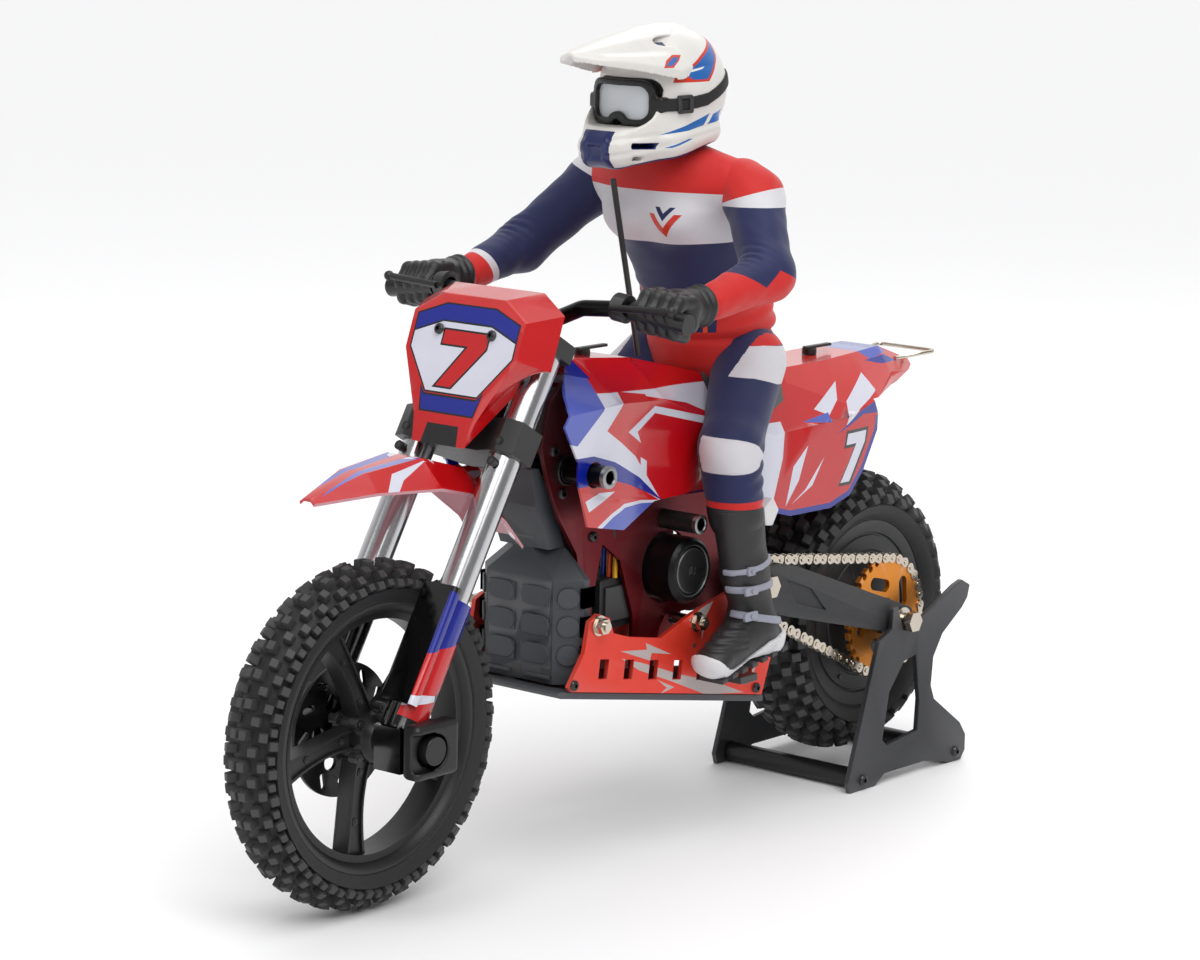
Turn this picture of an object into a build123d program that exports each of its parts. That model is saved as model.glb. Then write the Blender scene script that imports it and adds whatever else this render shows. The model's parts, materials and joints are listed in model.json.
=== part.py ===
from build123d import *
import math
import os

# Quarter-scale radio controlled motocross bike with its rider and paddock stand, in millimetres.
# +X is forward, +Y is the bike's left side (the chain side), +Z is up and the ground is Z = 0.
# The origin is on the ground under the middle of the whole model.

# ---------------------------------------------------------------- driving dimensions
REAR_X, REAR_Z = -195.0, 88.3            # rear axle, held clear of the ground by the stand
FRONT_X, FRONT_Z = 187.4, 85.35          # front axle
FRONT_R, FRONT_HALF = 85.35, 16.4        # front tyre radius and half width
REAR_R, REAR_HALF = 78.0, 23.9
FRONT_RIM_R, REAR_RIM_R = 65.7, 51.5     # bead radii
RAKE = 30.5                              # fork and steering axis, degrees from vertical
STEM_X, STEM_Z = 108.9, 200.0            # a point on the steering axis
FORK_OFFSET, FORK_Y = 16.0, 28.2         # fork tubes ahead of the steering axis, and half spacing
TUBE_R, LEG_R = 8.25, 10.5               # polished tube and lower leg radii
PIVOT_X, PIVOT_Z = -73.0, 125.0          # swingarm pivot and drive sprocket axis
MOTOR_X, MOTOR_Z, MOTOR_R = -12.5, 141.7, 17.0
FRAME_IN, FRAME_OUT = 20.0, 22.5         # faces of the two anodised frame plates, from the centre plane
GUARD_IN, GUARD_OUT = 36.5, 39.0         # faces of the lower side guards
SKID_T = 3.7                             # skid plate thickness
CHAIN_Y, CHAIN_PITCH = 30.0, 6.35
REAR_TEETH, DRIVE_TEETH = 32, 12
BELT_Y, BELT_PITCH = -11.0, 3.0
BELT_TEETH, PINION_TEETH = 40, 12
ARM_IN, ARM_OUT = 34.0, 42.0             # faces of the swingarm's two arms
STAND_IN, STAND_OUT = 44.3, 47.3         # faces of the stand plates
AXLE_R = 4.0
RUN = 0.05                               # radial clearance of a running fit
GAP = 0.35                               # gap left between curved faces on different bodies
SHOULDER = (-40.0, 52.0, 331.0)          # left arm's joint centres
ELBOW = (-15.0, 81.0, 297.0)
WRIST = (30.0, 79.0, 286.0)
HAND = (57.0, 79.0, 284.0)
SHOULDER_R, ELBOW_R, WRIST_R = 15.0, 12.5, 8.5
HIP, KNEE, BOOT_TOP = (-72.0, 27.0, 242.0), (-25.0, 51.0, 203.0), (-31.0, 53.0, 170.0)

rake = math.radians(RAKE)
AXIS_UP = Vector(-math.sin(rake), 0, math.cos(rake))
AHEAD = Vector(math.cos(rake), 0, math.sin(rake))


# ---------------------------------------------------------------- planes and small helpers
def side_plane(y):
    """Sketch plane whose x is X and whose y is Z; extrude goes towards -Y."""
    return Plane(origin=(0, y, 0), x_dir=(1, 0, 0), z_dir=(0, -1, 0))


def axle_plane(x, y, z):
    """Sketch plane square to Y at a point, for discs and tubes; extrude goes towards +Y."""
    return Plane(origin=(x, y, z), x_dir=(1, 0, 0), z_dir=(0, 1, 0))


def radial_plane(x, z):
    """Sketch plane for a revolved wheel profile: x is Y, y is the radius upwards."""
    return Plane(origin=(x, 0, z), x_dir=(0, 1, 0), z_dir=(1, 0, 0))


def wheel_axis(x, z):
    return Axis((x, 0, z), (0, 1, 0))


def stem_point(height, ahead=0.0, y=0.0):
    """Point at a height on the steering axis, moved ahead of it and sideways."""
    lift = (height - STEM_Z) / math.cos(rake)
    return Vector(STEM_X, y, STEM_Z) + AXIS_UP * lift + AHEAD * ahead


def stem_plane(height, ahead=0.0, y=0.0):
    """Plane square to the steering axis: its x is ahead and its y is +Y."""
    return Plane(origin=stem_point(height, ahead, y), x_dir=AHEAD, z_dir=AXIS_UP)


def between(start, end):
    """Plane at start whose normal points to end."""
    return Plane(origin=start, z_dir=Vector(*end) - Vector(*start))


def pitch_radius(teeth, pitch):
    return pitch / (2 * math.sin(math.pi / teeth))


def write(piece, name):
    piece.part.label = name
    export_step(piece.part, f"parts/{name}.step")


def limb(start, end, r_start, r_end):
    """Tapered limb with ball ends."""
    length = (Vector(*end) - Vector(*start)).length
    with BuildPart() as piece:
        with BuildSketch(between(start, end)):
            Circle(r_start)
        with BuildSketch(between(start, end).offset(length)):
            Circle(r_end)
        loft()
        with Locations(Location(start)):
            Sphere(r_start)
        with Locations(Location(end)):
            Sphere(r_end)
    return piece


os.makedirs("parts", exist_ok=True)

# ---------------------------------------------------------------- frame plates and guards
SCREW_PLACES = [(66, 232), (77, 212), (70, 190), (46, 165), (-60, 150), (-74, 185), (-102, 202)]
CRASH_UPPER, CRASH_LOWER = (70.0, 202.0), (-10.0, 167.0)
CRASH_UPPER_R, CRASH_LOWER_R, CRASH_BORE = 5.5, 5.0, 3.0
CRASH_UPPER_REACH, CRASH_LOWER_REACH = 53.0, 47.0
SHOCK_X, SHOCK_TOP, SHOCK_LOW = -105.0, 196.0, 117.0

with BuildPart() as frame_plates:
    with BuildSketch(side_plane(FRAME_OUT)):
        with BuildLine():
            Polyline(
                (44, 230), (60, 239.5), (70, 246), (80, 237), (86, 215), (81, 198), (72, 178), (58, 158),
                (53, 130), (53, 90), (-60, 69.5), (-79, 100), (-84, 118), (-83, 133), (-72, 141),
                (-68, 172), (-112, 186), (-188, 209), (-190, 219), (-100, 219), (-60, 221), (0, 222),
                close=True,
            )
        make_face()
        with Locations((MOTOR_X, MOTOR_Z)):
            Circle(MOTOR_R + 2, mode=Mode.SUBTRACT)
        with BuildLine():
            Polyline((44, 222), (54, 226), (62, 216), (64, 206), (55, 182), (35, 176), (24, 214), close=True)
        make_face(mode=Mode.SUBTRACT)
        with BuildLine():
            Polyline((38, 160), (46, 128), (46, 98), (13, 92), (13, 120), (24, 150), close=True)
        make_face(mode=Mode.SUBTRACT)
        with BuildLine():
            Polyline((-4, 91), (-52, 82), (-66, 102), (-40, 116), (-10, 116), close=True)
        make_face(mode=Mode.SUBTRACT)
        with BuildLine():
            Polyline((-62, 210), (14, 212), (20, 196), (-10, 178), (-56, 176), close=True)
        make_face(mode=Mode.SUBTRACT)
        with BuildLine():
            Polyline((-112, 194), (-112, 212), (-178, 213), (-176, 211), close=True)
        make_face(mode=Mode.SUBTRACT)
        with Locations((PIVOT_X, PIVOT_Z)):
            Circle(8.3, mode=Mode.SUBTRACT)
        with Locations(CRASH_UPPER):
            Circle(CRASH_UPPER_R, mode=Mode.SUBTRACT)
        with Locations(CRASH_LOWER):
            Circle(CRASH_LOWER_R, mode=Mode.SUBTRACT)
    extrude(amount=FRAME_OUT - FRAME_IN)
    mirror(about=Plane.XZ)
write(frame_plates, "frame_plates")

GUARD_NUTS = [(59.7, 124.5), (-18.4, 114.2)]
GUARD_SCREWS = [(78.0, 97.0), (-69.6, 70.8)]
with BuildPart() as guard_plates:
    with BuildSketch(side_plane(GUARD_OUT)):
        with BuildLine():
            Polyline(
                (81.7, 96.4), (70, 112), (66.6, 127.3), (59.8, 130.3), (51.2, 126.9), (47.9, 118.7),
                (35.2, 114.7), (10.5, 110.2), (-14.2, 118.8), (-48, 127), (-85, 93.5), (-74.9, 66.3),
                (79.5, 94.0), close=True,
            )
        make_face()
        for slot in range(7):
            slot_x = 55.0 - 19.6 * slot
            with Locations(Location((slot_x, 101.5 - 0.173 * (55.0 - slot_x)), 8)):
                Rectangle(7, 10, mode=Mode.SUBTRACT)
    extrude(amount=GUARD_OUT - GUARD_IN)
    mirror(about=Plane.XZ)
write(guard_plates, "guard_plates")

with BuildPart() as skid_plate:
    with BuildSketch(side_plane(0)):
        with BuildLine():
            Polyline(
                (-79.5, 65.0 - SKID_T), (84.5, 94.5 - SKID_T), (87, 93.2), (84.5, 94.5), (-79.5, 65.0),
                close=True,
            )
        make_face()
    extrude(amount=GUARD_IN, both=True)
write(skid_plate, "skid_plate")

# ---------------------------------------------------------------- battery box and electronics
BOX_TOP, SHOULDER_TOP, NECK_TOP = 147.0, 161.0, 203.0
WALL = 2.5


def box_outline(front, side, rear, inset=0.0):
    with BuildSketch() as outline:
        with BuildLine():
            Polyline(
                (rear, side - inset), (front - 11, side - inset), (front - inset, side - 11 - inset),
                (front - inset, inset + 11 - side), (front - 11, inset - side), (rear, inset - side),
                close=True,
            )
        make_face()
    return outline.sketch


with BuildPart() as battery_box:
    with BuildSketch(Plane.XY.offset(94.0)):
        add(box_outline(75.0, 33.0, 60.0))
    extrude(amount=BOX_TOP - 94.0)
    with BuildSketch(Plane.XY.offset(BOX_TOP)):
        add(box_outline(75.0, 33.0, 60.0))
    with BuildSketch(Plane.XY.offset(SHOULDER_TOP)):
        add(box_outline(72.0, 17.0, 60.0))
    loft()
    with BuildSketch(side_plane(16.0)):
        with BuildLine():
            Polyline(
                (60, SHOULDER_TOP), (72, SHOULDER_TOP), (82, 184), (86, NECK_TOP), (80, NECK_TOP), (66, 178),
                close=True,
            )
        make_face()
    extrude(amount=32.0)
    with BuildSketch(Plane.XY.offset(94.0 + WALL)):
        add(box_outline(75.0 - WALL, 33.0 - WALL, 50.0))
    extrude(amount=BOX_TOP - 94.0 - WALL, mode=Mode.SUBTRACT)
    with BuildSketch(side_plane(60)):
        with Locations(GUARD_NUTS[0]):
            Circle(3.0)
    extrude(amount=120, mode=Mode.SUBTRACT)
    for row in range(3):
        for pad_y in (-11, 11):
            with Locations((75.4, pad_y, 108 + 15 * row)):
                Box(1.2, 17, 9)
write(battery_box, "battery_box")

with BuildPart() as battery_pack:
    with Locations((55.0, 0, 120.0)):
        Box(32, 38, 44)
    fillet(battery_pack.edges().filter_by(Axis.Z), 3)
write(battery_pack, "battery_pack")

with BuildPart() as speed_controller:
    with Locations((21.0, 4.0, 127.0)):
        Box(26, 28, 26)
    fillet(speed_controller.edges().filter_by(Axis.Y), 2)
    with Locations((21.0, 18.0, 127.0)):
        Box(20, 3, 18)
write(speed_controller, "speed_controller")

SERVO_AXIS = (34.0, 0.0)
with BuildPart() as steering_servo:
    with Locations((42.0, 0, 184.0)):
        Box(36, 19, 26)
    with Locations((42.0, 0, 190.0)):
        Box(44, 24, 2.5)
    with Locations((SERVO_AXIS[0], SERVO_AXIS[1], 199.0)):
        Cylinder(3, 4)
write(steering_servo, "steering_servo")

with BuildPart() as servo_horn:
    with BuildSketch(Plane.XY.offset(201.4)):
        with Locations((SERVO_AXIS[0], 0)):
            Rectangle(6, 30)
            Circle(5)
        for horn_y in (-12, 12):
            with Locations((SERVO_AXIS[0], horn_y)):
                Circle(1.0, mode=Mode.SUBTRACT)
    extrude(amount=2.5)
write(servo_horn, "servo_horn")

# ---------------------------------------------------------------- steering head and crash bars
with BuildPart() as steering_head:
    with BuildSketch(stem_plane(225.0)):
        Circle(9)
        with Locations((-7, 0)):
            Rectangle(10, 2 * FRAME_IN)
        Circle(5.0 + RUN, mode=Mode.SUBTRACT)
    extrude(amount=26)
write(steering_head, "steering_head")

with BuildPart() as crash_bars:
    for centre, radius, reach in (
        (CRASH_UPPER, CRASH_UPPER_R, CRASH_UPPER_REACH), (CRASH_LOWER, CRASH_LOWER_R, CRASH_LOWER_REACH)
    ):
        with BuildSketch(side_plane(reach)):
            with Locations(centre):
                Circle(radius)
                Circle(CRASH_BORE, mode=Mode.SUBTRACT)
        extrude(amount=2 * reach)
    for collar_y in (FRAME_OUT + 4, -FRAME_OUT):
        with BuildSketch(side_plane(collar_y)):
            with Locations(CRASH_UPPER):
                Circle(7.5)
                Circle(CRASH_UPPER_R, mode=Mode.SUBTRACT)
        extrude(amount=4)
write(crash_bars, "crash_bars")

# ---------------------------------------------------------------- motor, belt drive and drive sprocket
MOTOR_BACK, MOTOR_FACE = 2.0, 40.0
SHAFT_R = 2.5
with BuildPart() as motor_can:
    with BuildSketch(axle_plane(MOTOR_X, MOTOR_BACK, MOTOR_Z)):
        Circle(MOTOR_R)
        Circle(SHAFT_R + RUN, mode=Mode.SUBTRACT)
    extrude(amount=MOTOR_FACE - MOTOR_BACK)
    chamfer(motor_can.edges().group_by(Axis.Y)[-1].sort_by(SortBy.LENGTH)[-1], 2)
    with BuildSketch(axle_plane(MOTOR_X, MOTOR_FACE, MOTOR_Z)):
        Circle(13)
        Circle(11.5, mode=Mode.SUBTRACT)
    extrude(amount=-0.8, mode=Mode.SUBTRACT)
write(motor_can, "motor_can")

with BuildPart() as motor_mount:
    with BuildSketch(axle_plane(MOTOR_X, -2.0, MOTOR_Z)):
        Circle(19)
        Circle(8, mode=Mode.SUBTRACT)
    extrude(amount=4.0)
    with BuildSketch(axle_plane(MOTOR_X, -FRAME_IN, MOTOR_Z)):
        with Locations((15, 0), (5, 15), (5, -15)):
            Circle(2.5)
    extrude(amount=FRAME_IN - 2.0)
write(motor_mount, "motor_mount")

drive_r = pitch_radius(DRIVE_TEETH, CHAIN_PITCH)
sprocket_r = pitch_radius(REAR_TEETH, CHAIN_PITCH)
pulley_r = BELT_TEETH * BELT_PITCH / (2 * math.pi)
pinion_r = PINION_TEETH * BELT_PITCH / (2 * math.pi)
ROLLER_R = 1.65
TOOTH_REACH = 1.5
BELT_HALF, BELT_T = 4.0, 1.3

with BuildPart() as motor_rotor:
    with BuildSketch(axle_plane(MOTOR_X, BELT_Y - BELT_HALF - 1.5, MOTOR_Z)):
        Circle(SHAFT_R)
    extrude(amount=MOTOR_FACE - 1.0 - (BELT_Y - BELT_HALF - 1.5))
    with BuildSketch(axle_plane(MOTOR_X, BELT_Y - BELT_HALF - 0.5, MOTOR_Z)):
        Circle(pinion_r - GAP)
    extrude(amount=2 * BELT_HALF + 1.0)
write(motor_rotor, "motor_rotor")


def sprocket_sketch(teeth, radius):
    with BuildSketch() as outline:
        Circle(radius + TOOTH_REACH)
        with PolarLocations(radius, teeth, start_angle=180 / teeth):
            Circle(ROLLER_R + 0.2, mode=Mode.SUBTRACT)
    return outline.sketch


PIVOT_R = 4.0
SLEEVE_R = 7.8
with BuildPart() as drive_sprocket:
    with BuildSketch(axle_plane(PIVOT_X, BELT_Y - BELT_HALF - 0.5, PIVOT_Z)):
        Circle(pulley_r - GAP)
        Circle(PIVOT_R + RUN, mode=Mode.SUBTRACT)
    extrude(amount=2 * BELT_HALF + 1.0)
    with BuildSketch(axle_plane(PIVOT_X, BELT_Y, PIVOT_Z)):
        Circle(SLEEVE_R)
        Circle(PIVOT_R + RUN, mode=Mode.SUBTRACT)
    extrude(amount=CHAIN_Y + 1.5 - BELT_Y)
    with BuildSketch(axle_plane(PIVOT_X, CHAIN_Y - 1.5, PIVOT_Z)):
        add(sprocket_sketch(DRIVE_TEETH, drive_r))
        Circle(PIVOT_R + RUN, mode=Mode.SUBTRACT)
    extrude(amount=3.0)
write(drive_sprocket, "drive_sprocket")

with BuildPart() as pivot_shaft:
    with BuildSketch(axle_plane(PIVOT_X, -44.0, PIVOT_Z)):
        Circle(PIVOT_R)
    extrude(amount=88.0)
    for head_y in (-46.5, 42.5):
        with BuildSketch(axle_plane(PIVOT_X, head_y, PIVOT_Z)):
            RegularPolygon(6.5, 6)
        extrude(amount=4.0)
    with BuildSketch(axle_plane(PIVOT_X, -FRAME_OUT, PIVOT_Z)):
        Circle(8.3)
    extrude(amount=FRAME_OUT - FRAME_IN)
write(pivot_shaft, "pivot_shaft")


def loop_hull(c1, r1, c2, r2):
    """Outline of a belt or chain round two circles."""
    with BuildSketch() as outline:
        with BuildLine():
            CenterArc(c1, r1, 0, 360)
            CenterArc(c2, r2, 0, 360)
        make_hull()
    return outline.sketch


MOTOR_C, PIVOT_C, REAR_C = (MOTOR_X, MOTOR_Z), (PIVOT_X, PIVOT_Z), (REAR_X, REAR_Z)
with BuildPart() as drive_belt:
    with BuildSketch(side_plane(BELT_Y + BELT_HALF)):
        add(loop_hull(MOTOR_C, pinion_r + BELT_T, PIVOT_C, pulley_r + BELT_T))
        add(loop_hull(MOTOR_C, pinion_r, PIVOT_C, pulley_r), mode=Mode.SUBTRACT)
    extrude(amount=2 * BELT_HALF)
write(drive_belt, "drive_belt")

# Chain: two side plates round both sprockets, joined by its rollers along the two straight runs.
LINK_HALF, PLATE_T, PLATE_IN = 2.9, 0.8, 1.9
centre_gap = math.dist(PIVOT_C, REAR_C)
line_angle = math.atan2(PIVOT_Z - REAR_Z, PIVOT_X - REAR_X)
open_angle = math.asin((sprocket_r - drive_r) / centre_gap)
run_length = math.sqrt(centre_gap**2 - (sprocket_r - drive_r) ** 2)
with BuildPart() as chain:
    for plate_y in (CHAIN_Y + PLATE_IN + PLATE_T, CHAIN_Y - PLATE_IN):
        with BuildSketch(side_plane(plate_y)):
            add(loop_hull(REAR_C, sprocket_r + LINK_HALF, PIVOT_C, drive_r + LINK_HALF))
            add(loop_hull(REAR_C, sprocket_r - LINK_HALF, PIVOT_C, drive_r - LINK_HALF), mode=Mode.SUBTRACT)
        extrude(amount=PLATE_T)
    for side in (1, -1):
        normal = line_angle + side * (math.pi / 2 - open_angle)
        along = line_angle - side * open_angle
        start = (REAR_X + sprocket_r * math.cos(normal), REAR_Z + sprocket_r * math.sin(normal))
        for link in range(3, int(run_length / CHAIN_PITCH) - 1):
            step = CHAIN_PITCH * link
            roller = (start[0] + step * math.cos(along), start[1] + step * math.sin(along))
            with BuildSketch(side_plane(CHAIN_Y + PLATE_IN + PLATE_T)):
                with Locations(roller):
                    Circle(ROLLER_R)
            extrude(amount=2 * (PLATE_IN + PLATE_T))
write(chain, "chain")

# ---------------------------------------------------------------- swingarm, shock and rear wheel
def arm_outline():
    """One arm seen from the side: deep at the pivot, slim at the axle."""
    with BuildSketch() as outline:
        with BuildLine():
            CenterArc(PIVOT_C, 10, 0, 360)
            CenterArc((PIVOT_X - 22, PIVOT_Z - 6), 13.5, 0, 360)
            CenterArc((REAR_X - 4, REAR_Z - 1), 8.0, 0, 360)
        make_hull()
    return outline.sketch


with BuildPart() as swingarm:
    with BuildSketch(side_plane(ARM_OUT)):
        add(arm_outline())
        with Locations(PIVOT_C):
            Circle(PIVOT_R + RUN, mode=Mode.SUBTRACT)
        with Locations(REAR_C):
            Circle(AXLE_R, mode=Mode.SUBTRACT)
    extrude(amount=ARM_OUT - ARM_IN)
    with BuildSketch(side_plane(ARM_OUT)):
        with BuildLine():
            Polyline((-90, 126), (-112, 118), (-126, 104), (-99, 112), close=True)
            Polyline((-124, 113), (-158, 101), (-168, 93), (-136, 102), close=True)
        make_face()
    extrude(amount=1.2, mode=Mode.SUBTRACT)
    mirror(about=Plane.XZ)
    with Locations((-106.0, 0, 111.0)):
        Box(9, 2 * ARM_IN, 9)
    with Locations((SHOCK_X, 0, SHOCK_LOW + 2.5)):
        Box(8, 9, 12)
    with BuildSketch(side_plane(9.0)):
        with Locations((SHOCK_X, SHOCK_LOW + 7.5)):
            Circle(3)
    extrude(amount=18.0)
write(swingarm, "swingarm")

SHOCK_EYE_Z = SHOCK_LOW + 7.5
with BuildPart() as shock_body:
    with BuildSketch(Plane.XY.offset(164.0)):
        with Locations((SHOCK_X, 0)):
            Circle(6)
    extrude(amount=28.0)
    with BuildSketch(Plane.XY.offset(185.0)):
        with Locations((SHOCK_X, 0)):
            Circle(9.5)
    extrude(amount=2.5)
    with BuildSketch(side_plane(4.0)):
        with Locations((SHOCK_X, SHOCK_TOP)):
            Circle(7)
    extrude(amount=8.0)
    with BuildSketch(side_plane(FRAME_IN)):
        with Locations((SHOCK_X, SHOCK_TOP)):
            Circle(2.5)
    extrude(amount=2 * FRAME_IN)
    with BuildSketch(Plane.XY.offset(160.0)):
        with Locations((SHOCK_X, 0)):
            Circle(2.2 + RUN)
    extrude(amount=27.0, mode=Mode.SUBTRACT)
write(shock_body, "shock_body")

with BuildPart() as shock_rod:
    with BuildSketch(Plane.XY.offset(SHOCK_EYE_Z + 5.0)):
        with Locations((SHOCK_X, 0)):
            Circle(2.2)
    extrude(amount=45.0)
    with BuildSketch(Plane.XY.offset(SHOCK_EYE_Z + 8.0)):
        with Locations((SHOCK_X, 0)):
            Circle(9.5)
    extrude(amount=2.5)
    for cheek_y in (8.0, -5.2):
        with BuildSketch(side_plane(cheek_y)):
            with Locations((SHOCK_X, SHOCK_EYE_Z + 2)):
                RectangleRounded(11, 14, 2)
            with Locations((SHOCK_X, SHOCK_EYE_Z)):
                Circle(3.8, mode=Mode.SUBTRACT)
        extrude(amount=2.8)
    with Locations((SHOCK_X, 0, SHOCK_EYE_Z + 7.0)):
        Box(11, 16, 3)
write(shock_rod, "shock_rod")

with BuildPart() as shock_spring:
    with BuildSketch(Plane.XY.offset(SHOCK_EYE_Z + 10.8)):
        with Locations((SHOCK_X, 0)):
            Circle(9.0)
            Circle(6.6, mode=Mode.SUBTRACT)
    extrude(amount=185.0 - SHOCK_EYE_Z - 11.1)
write(shock_spring, "shock_spring")

with BuildPart() as rear_axle:
    with BuildSketch(axle_plane(REAR_X, -50.0, REAR_Z)):
        Circle(AXLE_R)
    extrude(amount=100.0)
    for washer_y, nut_y in ((ARM_OUT, STAND_OUT + 0.5), (-ARM_OUT - 1.8, -STAND_OUT - 5.0)):
        with BuildSketch(axle_plane(REAR_X, washer_y, REAR_Z)):
            Circle(7.0)
        extrude(amount=1.8)
        with BuildSketch(axle_plane(REAR_X, nut_y, REAR_Z)):
            RegularPolygon(6.0, 6)
        extrude(amount=4.5)
write(rear_axle, "rear_axle")

GYRO_R, GYRO_HALF = 38.0, 9.0
with BuildPart() as rear_rim:
    with BuildSketch(radial_plane(REAR_X, REAR_Z)):
        with BuildLine():
            Polyline(
                (-18, AXLE_R + RUN), (-18, 20), (-16, 44), (-17.6, REAR_RIM_R), (-15.6, REAR_RIM_R),
                (-13, 48), (13, 48), (15.6, REAR_RIM_R), (17.6, REAR_RIM_R), (16, 44), (18, 20),
                (18, AXLE_R + RUN), (15.5, AXLE_R + RUN), (15.5, 19), (13.5, 42), (-13.5, 42),
                (-15.5, 19), (-15.5, AXLE_R + RUN), close=True,
            )
        make_face()
    revolve(axis=wheel_axis(REAR_X, REAR_Z))
write(rear_rim, "rear_rim")

with BuildPart() as gyro_flywheel:
    with BuildSketch(radial_plane(REAR_X, REAR_Z)):
        with BuildLine():
            Polyline(
                (-6, AXLE_R + RUN), (-6, 10), (-2, 10), (-2, 26), (-GYRO_HALF, 26),
                (-GYRO_HALF, GYRO_R), (GYRO_HALF, GYRO_R), (GYRO_HALF, 26), (2, 26), (2, 10), (6, 10),
                (6, AXLE_R + RUN), close=True,
            )
        make_face()
    revolve(axis=wheel_axis(REAR_X, REAR_Z))
write(gyro_flywheel, "gyro_flywheel")


def tyre_profile(outer, half, bead, bead_half):
    """Cross-section of a knobbly tyre's envelope, on its rim."""
    height = outer - bead
    wall, shoulder = bead + 0.4 * height, bead + 0.45 * height
    inner = bead + 0.4 * height - 2
    with BuildSketch() as outline:
        with BuildLine():
            Polyline((-bead_half, bead), (-half + 1.5, wall - 3), (-half, shoulder))
            ThreePointArc((-half, shoulder), (0, outer), (half, shoulder))
            Polyline((half, shoulder), (half - 1.5, wall - 3), (bead_half, bead))
            Polyline((bead_half, bead), (bead_half - 2.6, bead), (half - 5, inner))
            ThreePointArc((half - 5, inner), (0, outer - 6), (-half + 5, inner))
            Polyline((-half + 5, inner), (-bead_half + 2.6, bead), (-bead_half, bead))
        make_face()
    return outline.sketch


with BuildPart() as rear_tyre:
    with BuildSketch(radial_plane(REAR_X, REAR_Z)):
        add(tyre_profile(REAR_R, REAR_HALF, REAR_RIM_R, 17.6))
    revolve(axis=wheel_axis(REAR_X, REAR_Z))
write(rear_tyre, "rear_tyre")

with BuildPart() as rear_sprocket:
    with BuildSketch(axle_plane(REAR_X, CHAIN_Y - 1.5, REAR_Z)):
        add(sprocket_sketch(REAR_TEETH, sprocket_r))
        Circle(AXLE_R + RUN, mode=Mode.SUBTRACT)
        with PolarLocations(19.5, 5):
            SlotCenterToCenter(11, 7, rotation=58, mode=Mode.SUBTRACT)
    extrude(amount=3.0)
    with BuildSketch(axle_plane(REAR_X, 18.0, REAR_Z)):
        Circle(11)
        Circle(AXLE_R + RUN, mode=Mode.SUBTRACT)
    extrude(amount=CHAIN_Y - 1.5 - 18.0)
write(rear_sprocket, "rear_sprocket")

# ---------------------------------------------------------------- paddock stand
FOOT_FRONT, FOOT_REAR = (-156.4, 5.8), (-244.0, 5.8)
with BuildPart() as stand_plates:
    with BuildSketch(side_plane(STAND_OUT)):
        with BuildLine():
            Polyline(
                (-145.5, 0), (-168, 0), (-177, 5.5), (-214, 5.5), (-233, 2.0), (-238, 0), (-250, 0),
                (-254, 5), (-254, 14), (-248, 22), (-222, 40), (-218.5, 48), (-220, 64), (-228, 76),
                (-246, 88), (-251, 93), (-253, 100), (-245, 104), (-238, 102), (-204, 86.5), (-202, 84.2),
                (-199.6, REAR_Z - 4.3), (-190.4, REAR_Z - 4.3), (-187, 92), (-184.5, 98), (-180.5, 97),
                (-179.5, 86), (-168.5, 81), (-163, 66), (-143.5, 6), close=True,
            )
        make_face()
        with BuildLine():
            Polyline(
                (-203, 68), (-207.5, 42), (-206.5, 25), (-178, 21.5), (-174, 25), (-179, 51), (-192, 66),
                close=True,
            )
        make_face(mode=Mode.SUBTRACT)
    extrude(amount=STAND_OUT - STAND_IN)
    mirror(about=Plane.XZ)
write(stand_plates, "stand_plates")

with BuildPart() as stand_tubes:
    for foot in (FOOT_FRONT, FOOT_REAR):
        with BuildSketch(side_plane(STAND_IN)):
            with Locations(foot):
                Circle(5.5)
        extrude(amount=2 * STAND_IN)
write(stand_tubes, "stand_tubes")

# ---------------------------------------------------------------- fork
TUBE_TOP, TUBE_FOOT = 266.0, 112.0
LEG_TOP, LEG_FOOT = 150.0, 92.0


def fork_spot(height, y=FORK_Y):
    """A fork tube's centre where the tube's own height is given."""
    lift = (height - STEM_Z - FORK_OFFSET * math.sin(rake)) / math.cos(rake)
    return Vector(STEM_X, y, STEM_Z) + AHEAD * FORK_OFFSET + AXIS_UP * lift


def fork_plane(height, y):
    return Plane(origin=fork_spot(height, y), x_dir=AHEAD, z_dir=AXIS_UP)


with BuildPart() as fork_tubes:
    for tube_y in (FORK_Y, -FORK_Y):
        with BuildSketch(fork_plane(TUBE_FOOT, tube_y)):
            Circle(TUBE_R)
            Circle(TUBE_R - 1.5, mode=Mode.SUBTRACT)
        extrude(amount=(TUBE_TOP - TUBE_FOOT) / math.cos(rake))
        with BuildSketch(fork_plane(TUBE_TOP, tube_y)):
            Circle(TUBE_R)
        extrude(amount=-3)
write(fork_tubes, "fork_tubes")


def yoke_sketch(stem_r):
    with BuildSketch() as outline:
        with BuildLine():
            Polyline(
                (-6, 11), (-6, -11), (4, -30), (8, -38.5), (24, -38.5), (28, -30), (22, -14),
                (22, 14), (28, 30), (24, 38.5), (8, 38.5), (4, 30), close=True,
            )
        make_face()
        Circle(9.0)
        with Locations((FORK_OFFSET, FORK_Y), (FORK_OFFSET, -FORK_Y)):
            Circle(TUBE_R, mode=Mode.SUBTRACT)
        if stem_r:
            Circle(stem_r, mode=Mode.SUBTRACT)
    return outline.sketch


UPPER_MID, LOWER_MID, UPPER_T, LOWER_T = 257.0, 213.5, 9.0, 17.0
upper_low = UPPER_MID - UPPER_T / 2 * math.cos(rake)
lower_low = LOWER_MID - LOWER_T / 2 * math.cos(rake)
with BuildPart() as upper_yoke:
    with BuildSketch(stem_plane(upper_low)):
        add(yoke_sketch(5.0))
    extrude(amount=UPPER_T)
    with BuildSketch(stem_plane(upper_low + UPPER_T * math.cos(rake))):
        with Locations((8, 12), (8, -12)):
            Rectangle(12, 8)
    extrude(amount=7)
write(upper_yoke, "upper_yoke")

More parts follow.
